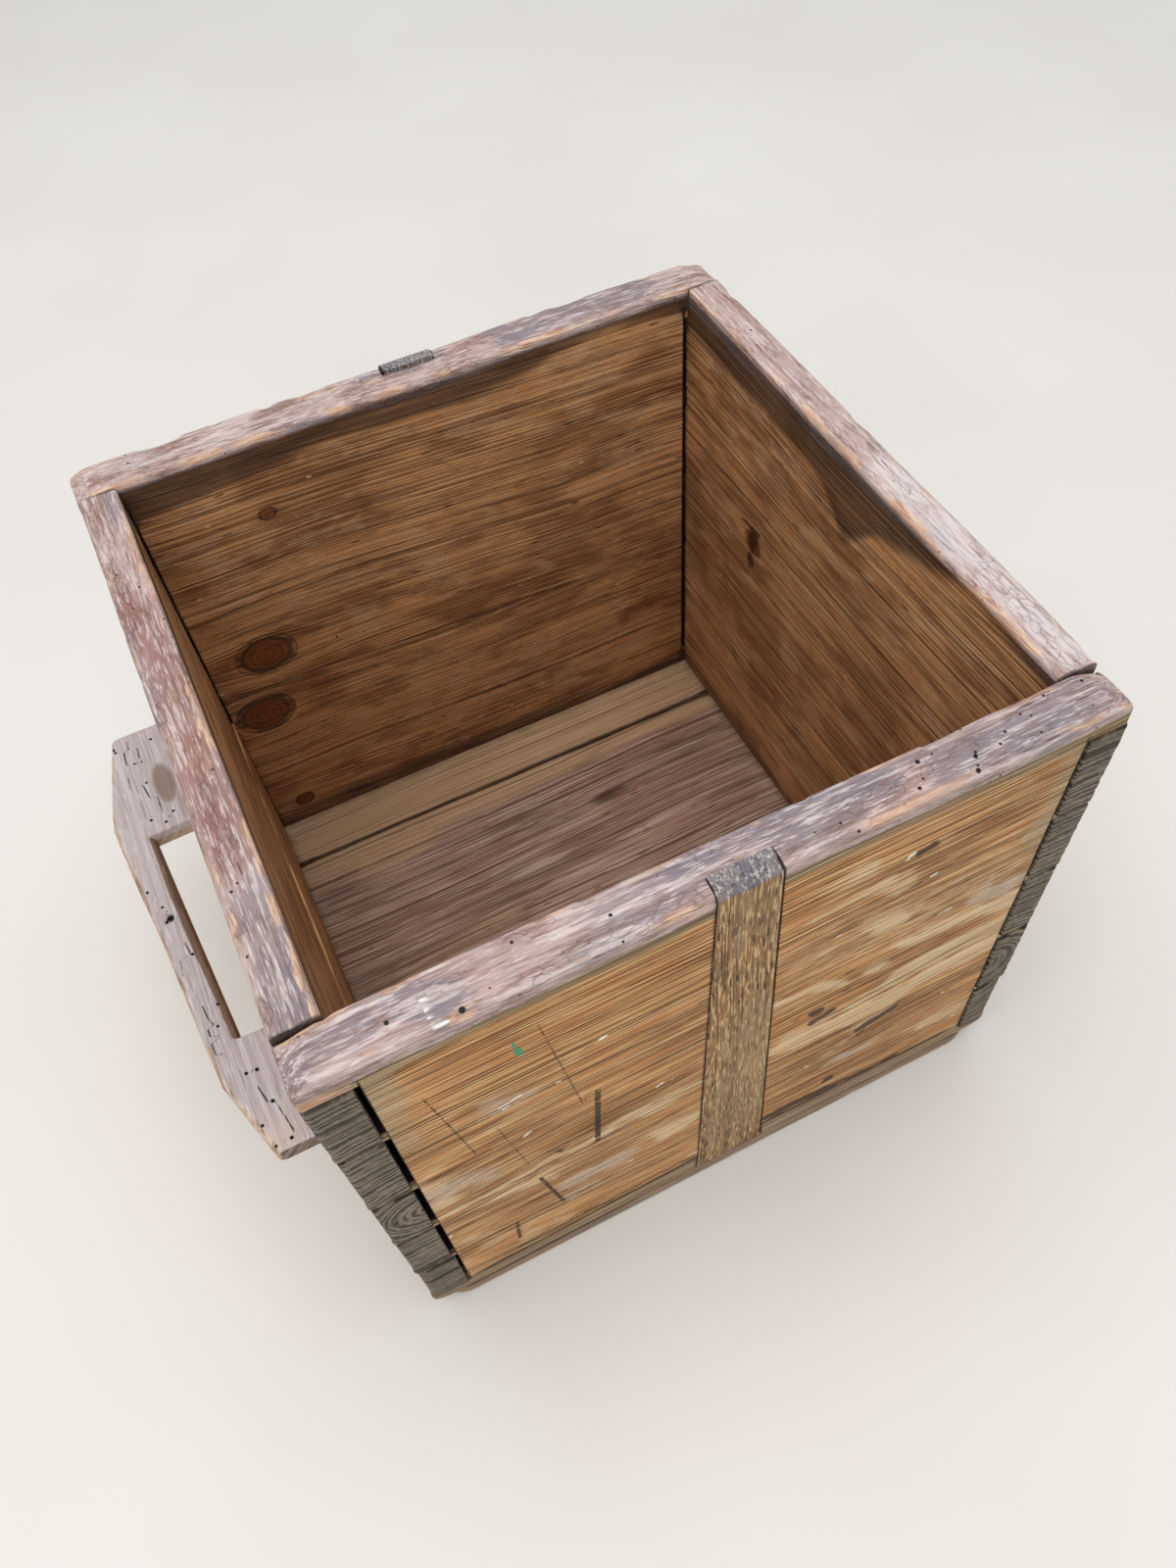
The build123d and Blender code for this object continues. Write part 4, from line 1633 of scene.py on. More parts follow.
        inside = smooth(0.45, 0.8, depth)
        outside = 1.0 - smooth(0.02, 0.12, depth)
        edge_out = np.hypot(down, depth * board.thickness)
        edge_in = np.hypot(down, (1 - depth) * board.thickness)
        corner = np.abs(np.abs(y) - (BACK_Y - END_WALL))
        through = smooth(BACK_Y - END_WALL + 0.3, BACK_Y - END_WALL + 2.0, np.abs(y))
        state = surface.state
        state["inside"] = inside
        state["stain"] = np.where(
            depth > 0.93, 1 - smooth(3.0, 11.0, down + 5.0 * broad), 1 - smooth(7.0, 17.0, down + 6.0 * broad)
        ) * (1 - through)
        state["bare"] = (
            hump(edge_out - 2.0, 2.6) * (0.2 + 0.35 * dents) + hump(edge_in - 1.8, 2.8) * (0.4 + 0.4 * dents)
        ) * (down < 14.0)
        drip_y, drip_z, drip_width = self.drip
        drip = hump(y - drip_y, max(drip_width, 1.0)) * (RIM_Z - drip_z) * (drip_width > 0)
        reach = 18.0 + 0.8 * drip + 18.0 * smooth(-120.0, 20.0, -np.abs(y - 10.0)) * (drip_width > 0)
        band = 1 - smooth(-9.0, 9.0, down - reach + 11.0 * broad)
        state["straw"] = outside * 0.5 * smooth(0.15, 0.9, blots)
        state["tan"] = outside * np.clip(
            0.8 * hump(down - 22.0 - 3.0 * broad, 8.0)
            + 0.8 * (1 - smooth(6.0, 20.0, z - FOOT_Z + 8.0 * blots)), 0.0, 1.0,
        )
        state["pit"] = Hole.nearest((), y, x)
        state["brown"] = inside * Mark.strongest(self.scars, y + 3.0 * dents, z + 2.0 * dents)
        for tone, smears in (("slate", self.slate), ("ash", self.ashen), ("ruddy", self.ruddy)):
            state[tone] = rim * Mark.strongest(smears, y + 14.0 * broad + 4.0 * dents, x + 5.0 * blots)
        # Darkening laid with the grime colour: the stain run and drip under the rim inside, the inside darker towards
        # the bottom and near the floor, dark lines at the corner joints and the board seam, grime on the tails' end
        # grain, and painted shade on a tail's faces where it runs inside the end wall's socket
        state["soot"] = np.clip(
            0.8 * inside * band * (0.2 + 0.8 * smooth(2.0, 6.5, down))
            + 0.45 * inside * (1 - smooth(4.0, 30.0, z - FOOT_Z + 8.0 * broad))
            + inside * 0.22 * (1 - smooth(40.0, 330.0, z))
            + 0.8 * hump(corner, 0.9) * (down < 9.0) * (1 - through)
            + 0.6 * inside * hump(corner, 1.2) * (1 - ends)
            + 0.5 * inside * hump(z - board.low, 1.0) * (board.low > FOOT_Z)
            + 0.55 * through * (1 - ends) * smooth(0.1, 0.4, depth)
            + 0.25 * ends * smooth(0.0, 0.8, broad), 0.0, 1.0,
        )
        state["cut"] = np.maximum(
            end_grain(ends) * (np.abs(y) > BACK_Y - TAIL_END), smooth(BACK_Y - 1.2, BACK_Y - 0.3, np.abs(y))
        )
        # Painted shade: near-black on a tail's inner face where it runs through the end wall's socket
        state["dark"] = through * smooth(0.86, 0.98, depth) * (1 - ends)
        board.grain.apply(surface)
        state["ring"] = state["ring"] * np.where(state["cut"] > 0.5, 0.65, 1.0)
        return surface.timber()

    def build(self, material: Material) -> None:
        """Builds each board with its tails at the front and the back.

        Args:
            material: Finish of the boards.
        """
        for board in self.boards:
            parts = [self._dress(self._panel(board), board)]
            for low, high in board.tails:
                parts += [self._dress(self._tail(board, low, high, front), board) for front in (True, False)]
            make_piece(f"worn_{board.node}", board.node, Timber.joined(parts), material)


@dataclass(frozen=True)
class TaperedKey:
    """Oak key in its groove, wider at the foot, drawn without the small flare that holds it in the groove."""

    name: str
    outer_y: float
    inwards: float
    top_z: float
    seed: int
    groove: KeyGroove = KeyGroove()
    sunk: float = 0.25
    clearance: float = 0.3
    step: float = 1.8

    def build(self, material: Material) -> None:
        """Carries the key's section from its foot to the rim, where the outer edge is worn round.

        Args:
            material: Finish of the key.
        """

        def section(z: Array) -> tuple[Array, float]:
            """Section at a height, a little inside the groove's edges.

            Args:
                z: Heights on the wall.

            Returns:
                Corners at each height and their radius.
            """
            left, right = self.groove.edges(self.groove.fall(z))
            face, bed = (self.outer_y + self.inwards * depth for depth in (self.sunk, self.groove.depth))
            return boxed(face, bed, left + self.clearance, right - self.clearance), 0.6

        ends = EndRound(0.6), EndRound(6.5, (1.0, 0.05, 0.12, 0.12))
        stations = spaced(FOOT_Z, self.top_z, self.step)
        plank = Plank(Run.UPRIGHT, stations, section, self.step, *ends, arc=3, strip=4)
        surface = plank.surface()
        places = surface.world()
        x, _, z = np.moveaxis(places, -1, 0)
        ends = np.sin(surface.lean)
        broad = Mottle(self.seed, (30.0, 30.0, 90.0)).layered(places, 3)
        dents = Mottle(self.seed + 5, (8.0, 8.0, 14.0)).at(places)
        surface.push(0.18 * broad - 0.7 * smooth(0.3, 0.9, dents) * smooth(-22.0, -4.0, z - self.top_z))
        state = surface.state
        gap = self.groove.edge_gap(x, z)
        upper = smooth(-6.5, -2.5, z - self.top_z + 3.0 * broad)
        state["stain"] = upper
        state["bare"] = 0.55 * hump(z - self.top_z + 3.0, 4.0) * (0.3 + dents)
        state["tan"] = np.clip(0.35 + 0.6 * broad, 0.0, 1.0) * (1 - upper)
        state["soot"] = np.clip(
            0.65 * hump(gap, 0.7) + 0.45 * upper * smooth(0.0, 0.7, dents) + 0.15 * hump(gap, 4.0), 0.0, 1.0
        )
        state["cut"] = np.clip(ends, 0.0, 1.0) * smooth(0.6, 0.95, ends)
        Grain((-160.0, self.outer_y + 40.0 * self.inwards), 0.01, 2.5, self.seed).apply(surface)
        make_piece(f"worn_{self.name}", self.name, surface.timber(), material)


@dataclass(frozen=True)
class FloorBoard:
    """One board of the floor: its two long edges, which of them is the crate's worn outer one, and its nails."""

    node: str
    near: float
    far: float
    worn: float
    nails: tuple[tuple[float, float], ...]
    thickness: float = 17.0
    corner: float = 26.0
    seed: int = 61
    splinter: float = 0.0

    def build(self, material: Material) -> None:
        """Carries the board's section from side to side, with the crate's corners worn round.

        A worn corner is a quarter circle in plan, so the edge draws in by the radius less the circle's half chord.

        Args:
            material: Finish of the board.
        """
        ragged = Mottle(self.seed + 7, (26.0, 40.0, 40.0))

        def section(x: Array) -> tuple[Array, Sequence[float]]:
            """Section at a station: the outer edge draws in at the crate's corners, the inner ones are ragged.

            The upper edges are a little broken and the crate's lower outer edge is worn wide.

            Args:
                x: Places along the board.

            Returns:
                Corners at each place and their radii.
            """
            past = np.clip(np.abs(x) - (RIGHT_X - self.corner), 0.0, self.corner)
            drawn = self.corner - np.sqrt(np.maximum(self.corner**2 - past**2, 0.0))
            waver = 0.35 * ragged.layered(on_line(x, 0), 3)
            near = self.near + np.where(self.worn < 0, drawn, waver) + self.splinter * hump(x + 176.0, 5.0)
            far = self.far - np.where(self.worn > 0, drawn, waver)
            wide_far, wide_near = (4.0 if self.worn * side > 0 else 1.0 for side in (1, -1))
            return boxed(self.thickness, 0.0, near, far), (1.0, 1.0, wide_far, wide_near)

        end = EndRound(2.0, (0.3, 1.0, 0.5, 0.5))
        plank = Plank(Run.FLAT, spaced(LEFT_X, RIGHT_X, 2.0), section, 2.0, end, end, arc=4, strip=4)
        surface = plank.surface()
        places = surface.world()
        x, y, z = np.moveaxis(places, -1, 0)
        ends = surface.ends()
        broad = Mottle(self.seed, (120.0, 45.0, 45.0)).layered(places, 3)
        dents = Mottle(self.seed + 3, (15.0, 9.0, 9.0)).at(places)
        amount = 0.3 * broad - 0.7 * smooth(0.45, 0.9, dents)
        under = 1 - smooth(2.0, 6.0, z)
        for nail_x, nail_y in self.nails:
            amount = amount - 1.0 * under * np.exp(-(((x - nail_x) / 6.0) ** 4) - (((y - nail_y) / 5.0) ** 4))
        amount = np.where(z < 8.0, np.minimum(amount, 0.0), amount)
        surface.push(np.where(ends > 0.5, 0.4 * amount, amount))
        wall_gap = np.minimum(
            np.minimum(np.abs(y - FRONT_Y - END_WALL), np.abs(BACK_Y - END_WALL - y)),
            RIGHT_X - SIDE_WALL - np.abs(x),
        )
        seam_gap = np.minimum(np.abs(y - self.near), np.abs(y - self.far))
        top = smooth(self.thickness - 4.0, self.thickness - 1.0, z)
        oval = np.hypot((x - 66.8) / 19.0, (y - 86.5) / 7.0)
        state = surface.state
        paler = 0.75 * hump(seam_gap, 20.0) * (self.worn == 0) + 0.85 * (self.worn > 0)
        state["tan"] = np.clip(0.35 * smooth(0.1, 0.8, broad) * top + top * paler + (1 - top) * 0.6, 0.0, 1.0)
        # Darkening laid with the grime colour: darker along the walls and at the board seams, an oval stain and patchy
        # dirt on the top, and painted shade on the board's edges below the top face
        state["soot"] = np.clip(
            0.5 * top * hump(wall_gap, 7.0) + 0.6 * top * hump(seam_gap, 1.6)
            + 0.55 * top * np.exp(-(oval**4)) + 0.35 * top * smooth(0.2, 0.9, -broad)
            + 0.4 * (1 - top) * smooth(2.0, 8.0, z), 0.0, 1.0,
        )
        state["cut"] = np.maximum(end_grain(ends), 0.7 * (1 - top))
        Grain((-340.0, -60.0), 0.006, 3.5, self.seed).apply(surface)
        make_piece(f"worn_{self.node}", self.node, surface.timber(), material)


@dataclass(frozen=True)
class PlankHandle:
    """Plank handle with a long and a short foot on the wall and a tapering grip across a finger slot."""

    node: str
    side: float
    seed: int
    length: float = 318.0
    thickness: float = 12.5
    top_z: float = 214.0
    feet: tuple[float, float] = (87.0, 72.0)
    shoulders: tuple[float, float] = (71.0, 51.0)
    foot_reach: tuple[float, float] = (51.0, 35.0)
    grip_reach: tuple[float, float] = (66.0, 51.0)
    grip_width: tuple[float, float] = (22.0, 17.0)
    bevel: float = 5.0
    arris: WornEdge = WornEdge(4.6, 1.0, 2.2, 300.0, (0.2, 0.8))
    step: float = 1.5
    holes: Holes = ()
    cracks: Marks = ()

    def build(self, material: Material) -> None:
        """Carries the plank's section along the wall: full on the feet, only the grip across the slot.

        The outer edge is a line through the ends and the two shoulders, and the slot's edge a line between the feet.

        Args:
            material: Finish of the handle.
        """
        half = self.length / 2
        slot = (-half + self.feet[1], half - self.feet[0])
        knees = (-half, -half + self.shoulders[1], half - self.shoulders[0], half)
        reaches = (self.foot_reach[1], self.grip_reach[1], self.grip_reach[0], self.foot_reach[0])
        insides = (self.grip_reach[1] - self.grip_width[1], self.grip_reach[0] - self.grip_width[0])
        swell = Mottle(self.seed, (50.0, 40.0, 50.0))
        chips = Mottle(self.seed + 4, (50.0, 9.0, 50.0))

        def opened(a: Array, ease: float) -> Array:
            """How far stations lie in the finger slot: smooth steps of a given width within its two ends."""
            return smooth(0.0, ease, a - slot[0]) * smooth(0.0, ease, slot[1] - a)

        def section(a: Array) -> tuple[Array, Array]:
            """Section at a station, from the wall or the slot's edge out to the worn and chipped outer edge.

            Args:
                a: Places along the handle.

            Returns:
                Corners and their radii at each place; the slot's upper edge has a bevel.
            """
            outer = np.interp(a, knees, reaches) + 0.5 * swell.at(on_line(a, 1))
            slotted = opened(a, 1.2)
            inner = slotted * np.interp(a, slot, insides)
            near, far = (self.side * (RIGHT_X + edge) for edge in (inner, outer))
            arris = self.arris.at(swell, chips, a, 1)
            radii = np.stack([0.4 + (self.bevel + 1.5) * slotted, arris, 0.6 * arris, np.full_like(a, 0.8)], 1)
            return boxed(self.top_z, self.top_z - self.thickness, near, far), radii

        features = [slot[0] + gap for gap in (0.1, 0.6, 1.2)] + [slot[1] - gap for gap in (1.2, 0.6, 0.1)]
        stations = spaced(-half, half, self.step, (*features, *knees[1:3]))
        end = EndRound(2.2, (1.0, 0.6, 0.05, 0.8))
        plank = Plank(Run.HANDLE, stations, section, self.step, end, end, arc=5, strip=4)
        surface = plank.surface()
        reach = np.abs(surface.wide) - RIGHT_X
        along = surface.along.copy()
        surface.along = -self.side * surface.along
        surface.lean = -self.side * surface.lean
        places = surface.world()
        ends = surface.ends()
        broad = Mottle(self.seed + 11, (30.0, 100.0, 30.0)).layered(places, 3)
        dents = Mottle(self.seed + 13, (7.0, 15.0, 7.0)).at(places)
        top = smooth(self.top_z - 3.0, self.top_z - 0.4, surface.thick)
        hole = np.hypot((along - 8.5) / 3.2, (reach - 49.2) / 2.4)
        amount = 0.22 * broad - 0.9 * smooth(0.45, 0.9, dents) - 2.6 * top * np.exp(-(hole**2))
        surface.push(np.where(ends > 0.5, 0.3 * amount, amount))
        outer_gap = np.interp(along, knees, reaches) - reach
        slotted = opened(along, 2.0)
        slot_gap = reach - slotted * np.interp(along, slot, insides)
        patch = np.hypot((along - 108.0) / 19.0, (reach - 27.0) / 8.0)
        state = surface.state
        state["inside"] = 1.0 - smooth(self.top_z - 9.0, self.top_z - 2.0, surface.thick)
        beside = slotted * (1 - smooth(1.5, 4.5, slot_gap + 1.5 * broad))
        state["stain"] = beside * smooth(self.top_z - 11.0, self.top_z - 6.0, surface.thick)
        state["bare"] = np.clip(hump(outer_gap, 3.4) * (0.7 + 0.5 * dents), 0.0, 1.0) * (1 - 0.4 * ends)
        state["tan"] = np.clip(0.2 + 0.5 * broad, 0.0, 1.0)
        # Darkening of the plank: a brown patch on the longer foot, dark round the large hole, a dark line where the
        # plank meets the wall, and painted shade on the end faces
        state["soot"] = np.clip(
            0.7 * top * np.exp(-(patch**6)) + 0.9 * top * np.exp(-(hole**4)) + 0.3 * hump(reach, 1.5) * (1 - slotted)
            + 0.25 * ends, 0.0, 1.0,
        )
        state["gap"], strength = Mark.nearest(self.cracks, along, reach)
        on_top, elsewhere = (Hole.nearest(holes_there, along, reach) for holes_there in (self.holes, ()))
        state["pit"] = np.where(top[..., None] > 0.3, on_top, elsewhere)
        state["mark"] = top * strength
        state["cut"] = end_grain(ends)
        Grain((90.0 * self.side, self.top_z - 120.0), 0.01, 2.5, self.seed).apply(surface)
        make_piece(f"worn_{self.node}", self.node, surface.timber(), material)


@dataclass(frozen=True)
class Studio:
    """Pale floor, soft lamps, sky light and the camera at the photograph's angle."""

    eye: tuple[float, float, float] = (-0.15444, -0.4323, 0.83936)
    right: tuple[float, float, float] = (0.89695, -0.43809, -0.05971)
    down: tuple[float, float, float] = (-0.39076, -0.72228, -0.57063)
    ahead: tuple[float, float, float] = (0.20686, 0.53516, -0.81903)
    focal_px: float = 1241.2
    height_px: float = 1600.0
    sensor_mm: float = 36.0

    @staticmethod
    def _hang(name: str, data: bpy.types.ID, turn: Array, spot: Sequence[float]) -> bpy.types.Object:
        """Puts a camera or a lamp in the scene.

        Args:
            name: Name of the new object.
            data: Camera or lamp.
            turn: Its right, up and back directions, as columns.
            spot: Its place in metres.

        Returns:
            The new object.
        """
        place = np.eye(4)
        place[:3, :3] = turn
        place[:3, 3] = spot
        thing = bpy.data.objects.new(name, data)
        thing.matrix_world = Matrix(place.tolist())
        bpy.context.scene.collection.objects.link(thing)
        return thing

    def floor(self) -> None:
        """Lays a wide flat sheet of paper from its four corners."""
        reach = 6.0
        mesh = bpy.data.meshes.new("studio_floor")
        grid = np.array([(-1, -1, 0), (1, -1, 0), (1, 1, 0), (-1, 1, 0)], float) * reach
        mesh.from_pydata(grid.tolist(), [], [(0, 1, 2, 3)])
        mesh.materials.append(StudioFinish().build())
        sheet = bpy.data.objects.new("studio_floor", mesh)
        bpy.context.scene.collection.objects.link(sheet)

    def camera(self) -> None:
        """Sets the camera's axes from the fitted view: right, up against the picture's down, and back."""
        lens = bpy.data.cameras.new("photo_view")
        lens.sensor_fit = "AUTO"
        lens.sensor_width = self.sensor_mm
        lens.lens = self.focal_px / self.height_px * self.sensor_mm
        lens.clip_start = 0.02
        turn = np.stack([np.array(self.right), -np.array(self.down), -np.array(self.ahead)], 1)
        left, _, right = np.linalg.svd(turn)
        bpy.context.scene.camera = self._hang("photo_view", lens, left @ right, self.eye)

    def lamps(self) -> None:
        """Hangs a large soft lamp above and one in front, and sets an even sky."""
        for name, spot, aim, size, power in (
            ("top_lamp", (-0.2, 0.1, 3.0), (0.0, 0.0, 0.2), 3.0, 62.0),
            ("front_lamp", (-1.0, -2.2, 1.8), (0.0, 0.0, 0.2), 2.4, 22.0),
        ):
            lamp = bpy.data.lights.new(name, "AREA")
            lamp.energy = power
            lamp.size = size
            back = np.subtract(spot, aim) / np.linalg.norm(np.subtract(spot, aim))
            side = np.cross((0.0, 0.0, 1.0), back)
            side /= np.linalg.norm(side)
            self._hang(name, lamp, np.stack([side, np.cross(back, side), back], 1), spot)
        world = bpy.data.worlds.new("soft_sky")
        world.use_nodes = True
        world.node_tree.nodes.clear()
        sky = add_node(world.node_tree, "ShaderNodeBackground", None, {"Color": "#f4f6fa", "Strength": 0.62})
        add_node(world.node_tree, "ShaderNodeOutputWorld", None, {"Surface": sky.outputs[0]})
        bpy.context.scene.world = world
        bpy.context.scene.view_settings.view_transform = "Standard"


def tails_between(pins: Sequence[float]) -> tuple[tuple[float, float], ...]:
    """Heights of the tails that fit between the half pins and the pins of a corner.

    Args:
        pins: Heights of the pin centres from the bottom up.

    Returns:
        Low and high cheek of each tail at the outer face.
    """
    lows = (FOOT_Z + BOTTOM_HALF_PIN, *(pin + PIN_FACE / 2 for pin in pins))
    highs = (*(pin - PIN_FACE / 2 for pin in pins), RIM_Z - TOP_HALF_PIN)
    return tuple(zip(lows, highs))


FRONT = EndWall(
    name="front", outer_y=FRONT_Y, inwards=1.0, seam=(149.0, 188.0), sockets=(26.2, 23.9), seed=101, step=1.65,
    upper_grain=Grain((-420.0, -150.0), -0.02, 4.0, 3), lower_grain=Grain((-300.0, -120.0), 0.03, 5.0, 4),
    split_depth=2.6,
    marks=marks(
        (-81.7, 234, -86, 162, 2.3, 1), (-163, 321, -151, 229, 0.8, 0.55), (-136.5, 248, -127, 178, 0.7, 0.45),
        (-123, 147, -113.5, 88, 1.6, 0.9), (-144.3, 90, -146, 61, 1.7, 0.85), (-104.8, 341, -89, 211, 0.7, 0.5),
        (-115, 182, -104, 174, 1.2, 0.5),
    ),
    brown=marks(
        (51, 190, 57, 190, 5, 1.15), (57, 176.5, 68, 180, 5, 1.1), (90, 127, 114, 133, 6, 1.1),
        (96, 119, 98, 121, 4, 0.8), (99, 330.5, 107, 331, 4.5, 1), (101, 318, 106, 316, 4.5, 0.6),
        (76, 61, 80, 61.5, 5.5, 1.05), (30, 48, 75, 43, 7, 1.2), (75, 42.5, 132, 40, 3.5, 1.1),
        (-158, 42, -22, 46, 2, 1), (-110, 177, -106, 174, 3, 0.8), (-184, 160, -110, 163, 1.6, 0.8),
        (92, 282, 97, 283, 3, 0.6), (82, 259, 88, 259, 2.6, 0.6),
    ),
    faded=marks(
        (112, 226, 160, 222, 9, 0.8), (115, 186, 190, 182, 10, 0.95), (28, 230, 60, 214, 9, 0.75),
        (30, 160, 188, 156, 11, 0.95), (-182, 222, -156, 186, 16, 0.4), (-184, 158, -22, 168, 5, 0.65),
        (-48, 116, -26, 122, 13, 0.7), (-150, 142, -120, 138, 7, 0.5), (150, 70, 186, 66, 14, 0.5),
        (160, 215, 188, 208, 12, 0.7), (55, 268, 175, 258, 50, 0.33),
    ),
    ashen=marks(
        (-112, 112, -80, 108, 11, 0.95), (-122, 84, -100, 82, 6, 0.7), (78, 92, 104, 88, 8, 0.9),
        (158, 242, 184, 228, 9, 0.95), (-176, 205, -150, 196, 12, 0.6), (-150, 276, -126, 268, 8, 0.5),
    ),
    holes=holes(
        (-163.7, -200, 1.1), (-133.7, -209, 1.5), (-60, -198.3, 0.9), (100.3, -192.8, 1.2), (92.8, -205.3, 1),
        (125, -202.8, 1.1), (126.5, -200.6, 0.7), (122, -209.5, 1.2), (195, -190, 0.9), (-103, -190.5, 0.8),
    ),
    slate=marks(
        (-160, -194, -142, -204, 13, 0.9), (-22, -192, -8, -192, 9, 0.7), (22, -198, 72, -196, 14, 0.85),
        (105, -200, 192, -196, 15, 0.8), (-208, -202, -182, -198, 13, 0.85),
    ),
    paint=marks(
        (-117.6, 334.5, -116.8, 327, 1.1, 1.1), (-116.6, 325, -115.6, 320.5, 2.4, 1.1),
        (-191, 369, -184, 367, 3, 0.55),
    ),
    chalk=marks(
        (-147.5, 380, -141, 379, 2.2, 0.62), (-133, 271.5, -121, 275, 2.2, 0.72),
        (-131, 268, -127, 268.5, 1.6, 0.85), (-125, 221, -121.5, 223, 2, 0.85), (-77, 294.5, -74, 295.5, 1.8, 0.85),
        (-48, 198, -44, 199.5, 1.6, 0.85), (90.5, 330, 94, 333, 2.4, 0.8), (111, 297.5, 114, 299, 1.7, 0.85),
        (126, 245, 134, 245.5, 1.5, 0.75), (-68, 98, -66, 99.5, 1.6, 0.85), (56, 105.5, 58, 107, 1.6, 0.85),
        (145, 68.5, 148, 70, 1.8, 0.8), (-183, 125, -181.5, 127, 1.8, 0.8),
    ),
)
BACK = EndWall(
    name="back", outer_y=BACK_Y, inwards=-1.0, seam=(184.0, 154.0), sockets=(24.2, 25.6), seed=151, step=2.0,
    upper_grain=Grain((560.0, 150.0), 0.05, 7.0, 5, (Knot(-144.9, 210.1, 14.0), Knot(-110.9, 325.2, 4.0))),
    lower_grain=Grain((480.0, 170.0), 0.04, 7.0, 6, (Knot(-161.3, 153.8, 15.0), Knot(-160.4, 42.1, 6.0))),
    slate=marks((70, 203, 160, 203, 16, 0.9), (-32, 207, 20, 202, 10, 0.7)),
    nicks=marks(
        (44, 181.5, 56, 186.5, 1.5, 0.7), (133, 187, 142, 189, 1.4, 0.6), (71, 193.5, 78, 196.5, 1.4, 0.6),
        (-12, 123, -1, 124.5, 1.3, 0.5), (20, 174, 27, 176.5, 1.2, 0.45),
    ),
)
HANDLE_HOLES = holes(
    (150.8, 50.5, 1), (147, 49.8, 1.1), (147, 26, 1), (132, 40.5, 0.8), (131.5, 36, 0.7), (113.2, 37.2, 0.9),
    (82.8, 41.8, 1), (77.2, 33.5, 1), (83.2, 27.2, 1), (62.8, 41.8, 0.9), (31.5, 57.2, 1), (17.2, 51.5, 0.9),
    (8.5, 49.2, 2), (6, 51.8, 1.1), (-22.2, 43.5, 1), (-16, 59.8, 0.9), (-37.8, 36, 0.9), (-41, 56.5, 0.9),
    (-60.2, 39.2, 0.9), (-73.5, 42.8, 0.9), (-108, 36.5, 1.1), (-108.5, 30.5, 1.2), (-129.8, 28, 1.2),
    (-140.5, 37.2, 1), (-154, 25, 1.1), (-154.5, 34, 0.9),
)
HANDLE_CRACKS = marks(
    (-13.5, 45.5, -21, 44.5, 0.56, 0.85), (-24.8, 51.5, -32.2, 52.2, 0.56, 0.81),
    (-58.5, 47.2, -67.2, 46.5, 0.50, 0.81), (-61, 41.8, -66, 42.2, 0.43, 0.81), (-72, 48.5, -78.5, 48.5, 0.50, 0.81),
    (-82, 49, -91, 48.8, 0.50, 0.81), (-71, 44.8, -80, 44.4, 0.43, 0.81), (-86, 44.5, -92, 44.2, 0.50, 0.81),
    (144, 44.8, 134, 45.5, 0.56, 0.81), (151, 41, 141, 41.5, 0.50, 0.72), (144, 36, 135.5, 36.5, 0.50, 0.77),
    (111.5, 39.8, 99, 38, 0.56, 0.77), (99, 33.5, 86.5, 34, 0.56, 0.77), (121.5, 47.2, 114, 47.8, 0.43, 0.72),
    (-118, 33, -128, 31, 0.56, 0.81), (-132, 26.5, -150, 23, 0.56, 0.81),
)
LEFT_SEAM = 158.0
LEFT_TAILS = tails_between(LEFT_PINS)
RIGHT_TAILS = tails_between(RIGHT_PINS)
LEFT = SideWall(
    outer_x=LEFT_X, inwards=1.0, seed=201, step=2.0,
    ruddy=marks((75, -199, -85, -199, 20, 0.62), (-85, -199, -180, -199, 16, 0.3)),
    slate=marks((-120, -199, -180, -199, 16, 0.55), (182, -192, 150, -192, 9, 0.7)),
    boards=(
        SideBoard(
            "left_upper_board", LEFT_SEAM, RIM_Z, SIDE_WALL, LEFT_TAILS[2:], Grain((192.0, -185.0), 0.01, 4.0, 7)
        ),
        SideBoard(
            "left_lower_board", FOOT_Z, LEFT_SEAM, SIDE_WALL + 1.5, LEFT_TAILS[:2],
            Grain((-160.0, -190.0), 0.01, 4.0, 8),
        ),
    ),
)
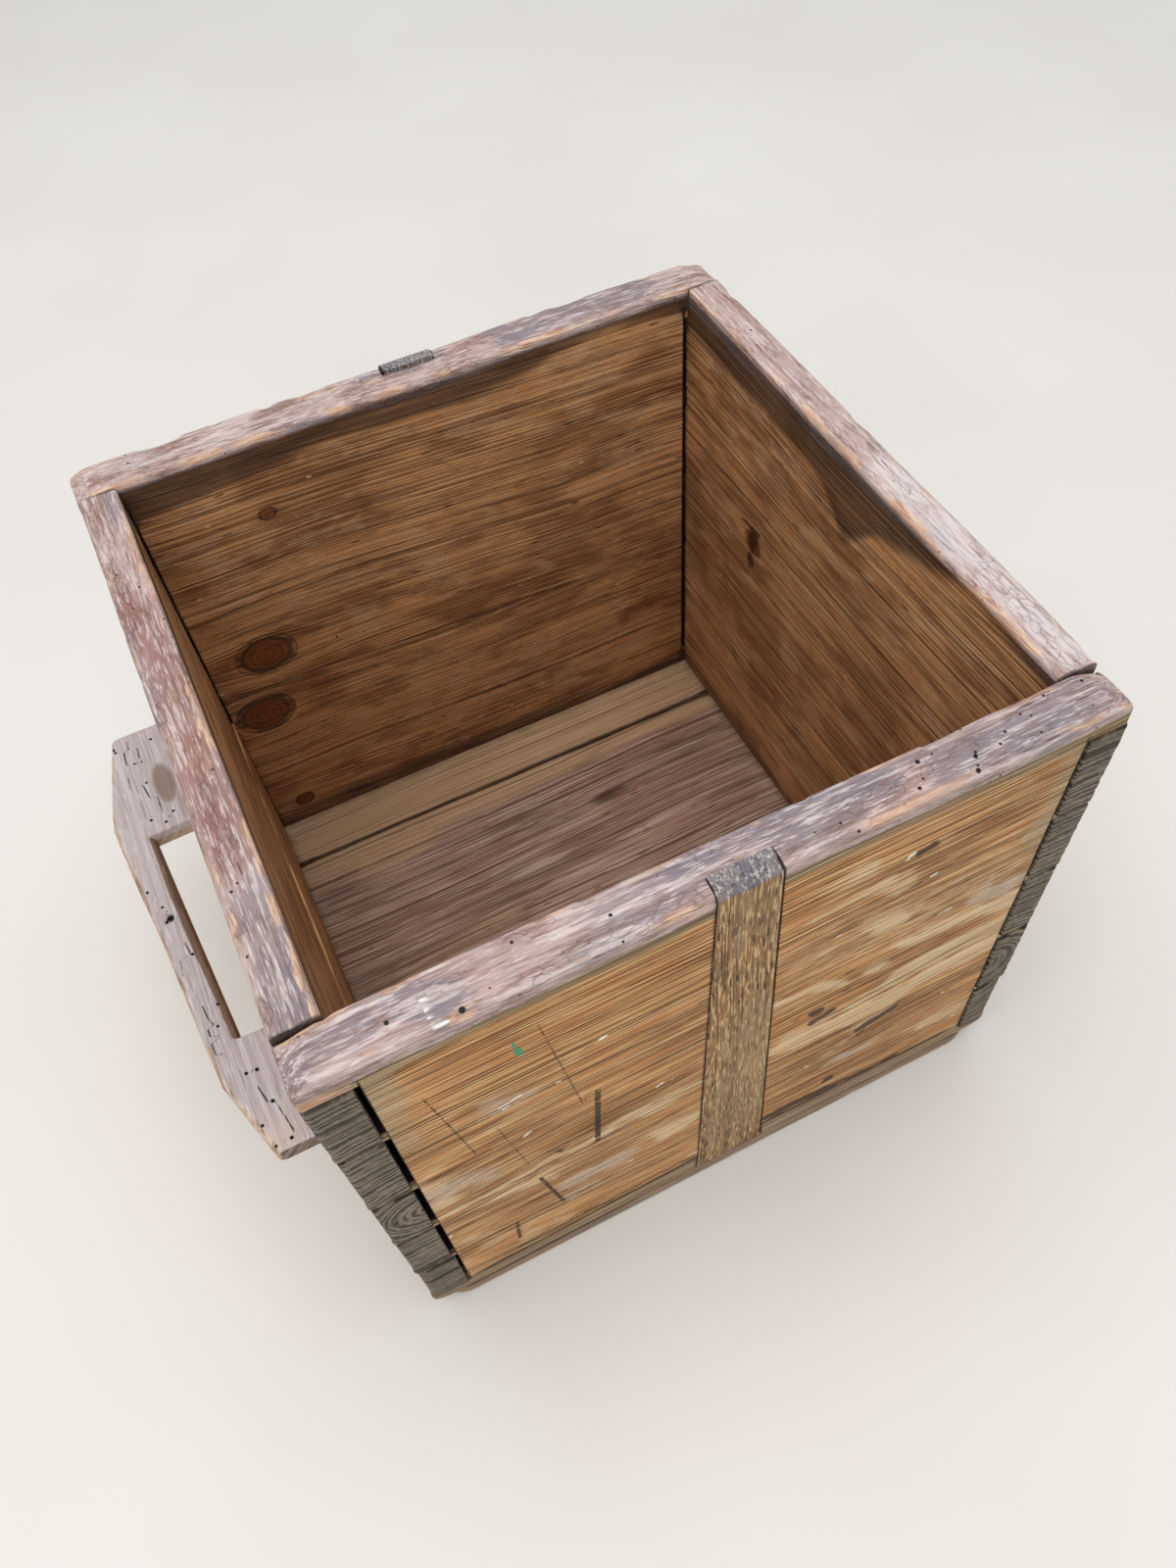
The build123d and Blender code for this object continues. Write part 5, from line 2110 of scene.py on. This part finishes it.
RIGHT = SideWall(
    outer_x=RIGHT_X, inwards=-1.0, seed=251, step=2.35, drip=(-9.0, 338.0, 22.0),
    ashen=marks((-25, 199, -175, 199, 17, 0.55)),
    scars=marks((103, 248.5, 78, 250, 2.2, 1), (86, 247, 90, 234, 6, 1.15), (92, 224, 90, 220, 6.5, 1.1)),
    boards=(
        SideBoard("right_board", FOOT_Z, RIM_Z, SIDE_WALL, RIGHT_TAILS, Grain(
            (122.0, 185.0), 0.02, 5.0, 9, (Knot(87.8, 238.7, 7.0),)
        )),
    ),
)


def floor_nails() -> tuple[tuple[float, float], ...]:
    """Places of the floor nails under the middle of the walls, as the CAD source has them.

    Returns:
        Place along x and y of each nail.
    """
    along = np.linspace(LEFT_X + 45.0, RIGHT_X - 45.0, 4)
    ends = [(float(x), y) for y in (FRONT_Y + END_WALL / 2, BACK_Y - END_WALL / 2) for x in along]
    sides = [(x, y) for x in (-198.5, 198.5) for y in (-162.5, -49.5, -2.5, 120.0)]
    return tuple(ends + sides)


def main() -> None:
    """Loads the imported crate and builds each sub-assembly over it."""
    logging.basicConfig(level=logging.INFO, format="%(name)s %(message)s")
    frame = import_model()
    pine, dusty, oak, plank = (finish.build() for finish in (OLD_PINE, FLOOR_PINE, OAK_KEY, GREY_PLANK))
    iron = IronFinish().build()
    for wall in (FRONT, BACK):
        wall.boards(pine)
    for side in (LEFT, RIGHT):
        side.build(pine)
    TaperedKey("front_key", FRONT_Y, 1.0, RIM_Z, 301).build(oak)
    TaperedKey("back_key", BACK_Y, -1.0, RIM_Z + 3.0, 331).build(oak)
    nails = floor_nails()
    for board in (
        FloorBoard("front_floor_board", FRONT_Y, -27.5, -1.0, nails, seed=61),
        FloorBoard("middle_floor_board", -27.0, 142.0, 0.0, nails, seed=71),
        FloorBoard("back_floor_board", 145.0, BACK_Y, 1.0, nails, seed=81, splinter=1.6),
    ):
        board.build(dusty)
    PlankHandle("left_handle", -1.0, 401, holes=HANDLE_HOLES, cracks=HANDLE_CRACKS).build(plank)
    PlankHandle("right_handle", 1.0, 431, holes=HANDLE_HOLES, cracks=HANDLE_CRACKS).build(plank)
    for name in ("floor_nails", "left_handle_nails", "right_handle_nails"):
        node = frame["nodes"][name]
        for place in node.material_slots:
            place.material = iron
        LOG.info("%s: CAD solids with rusted iron", name)
    studio = Studio()
    studio.floor()
    studio.camera()
    studio.lamps()


if __name__ == "__main__":
    main()
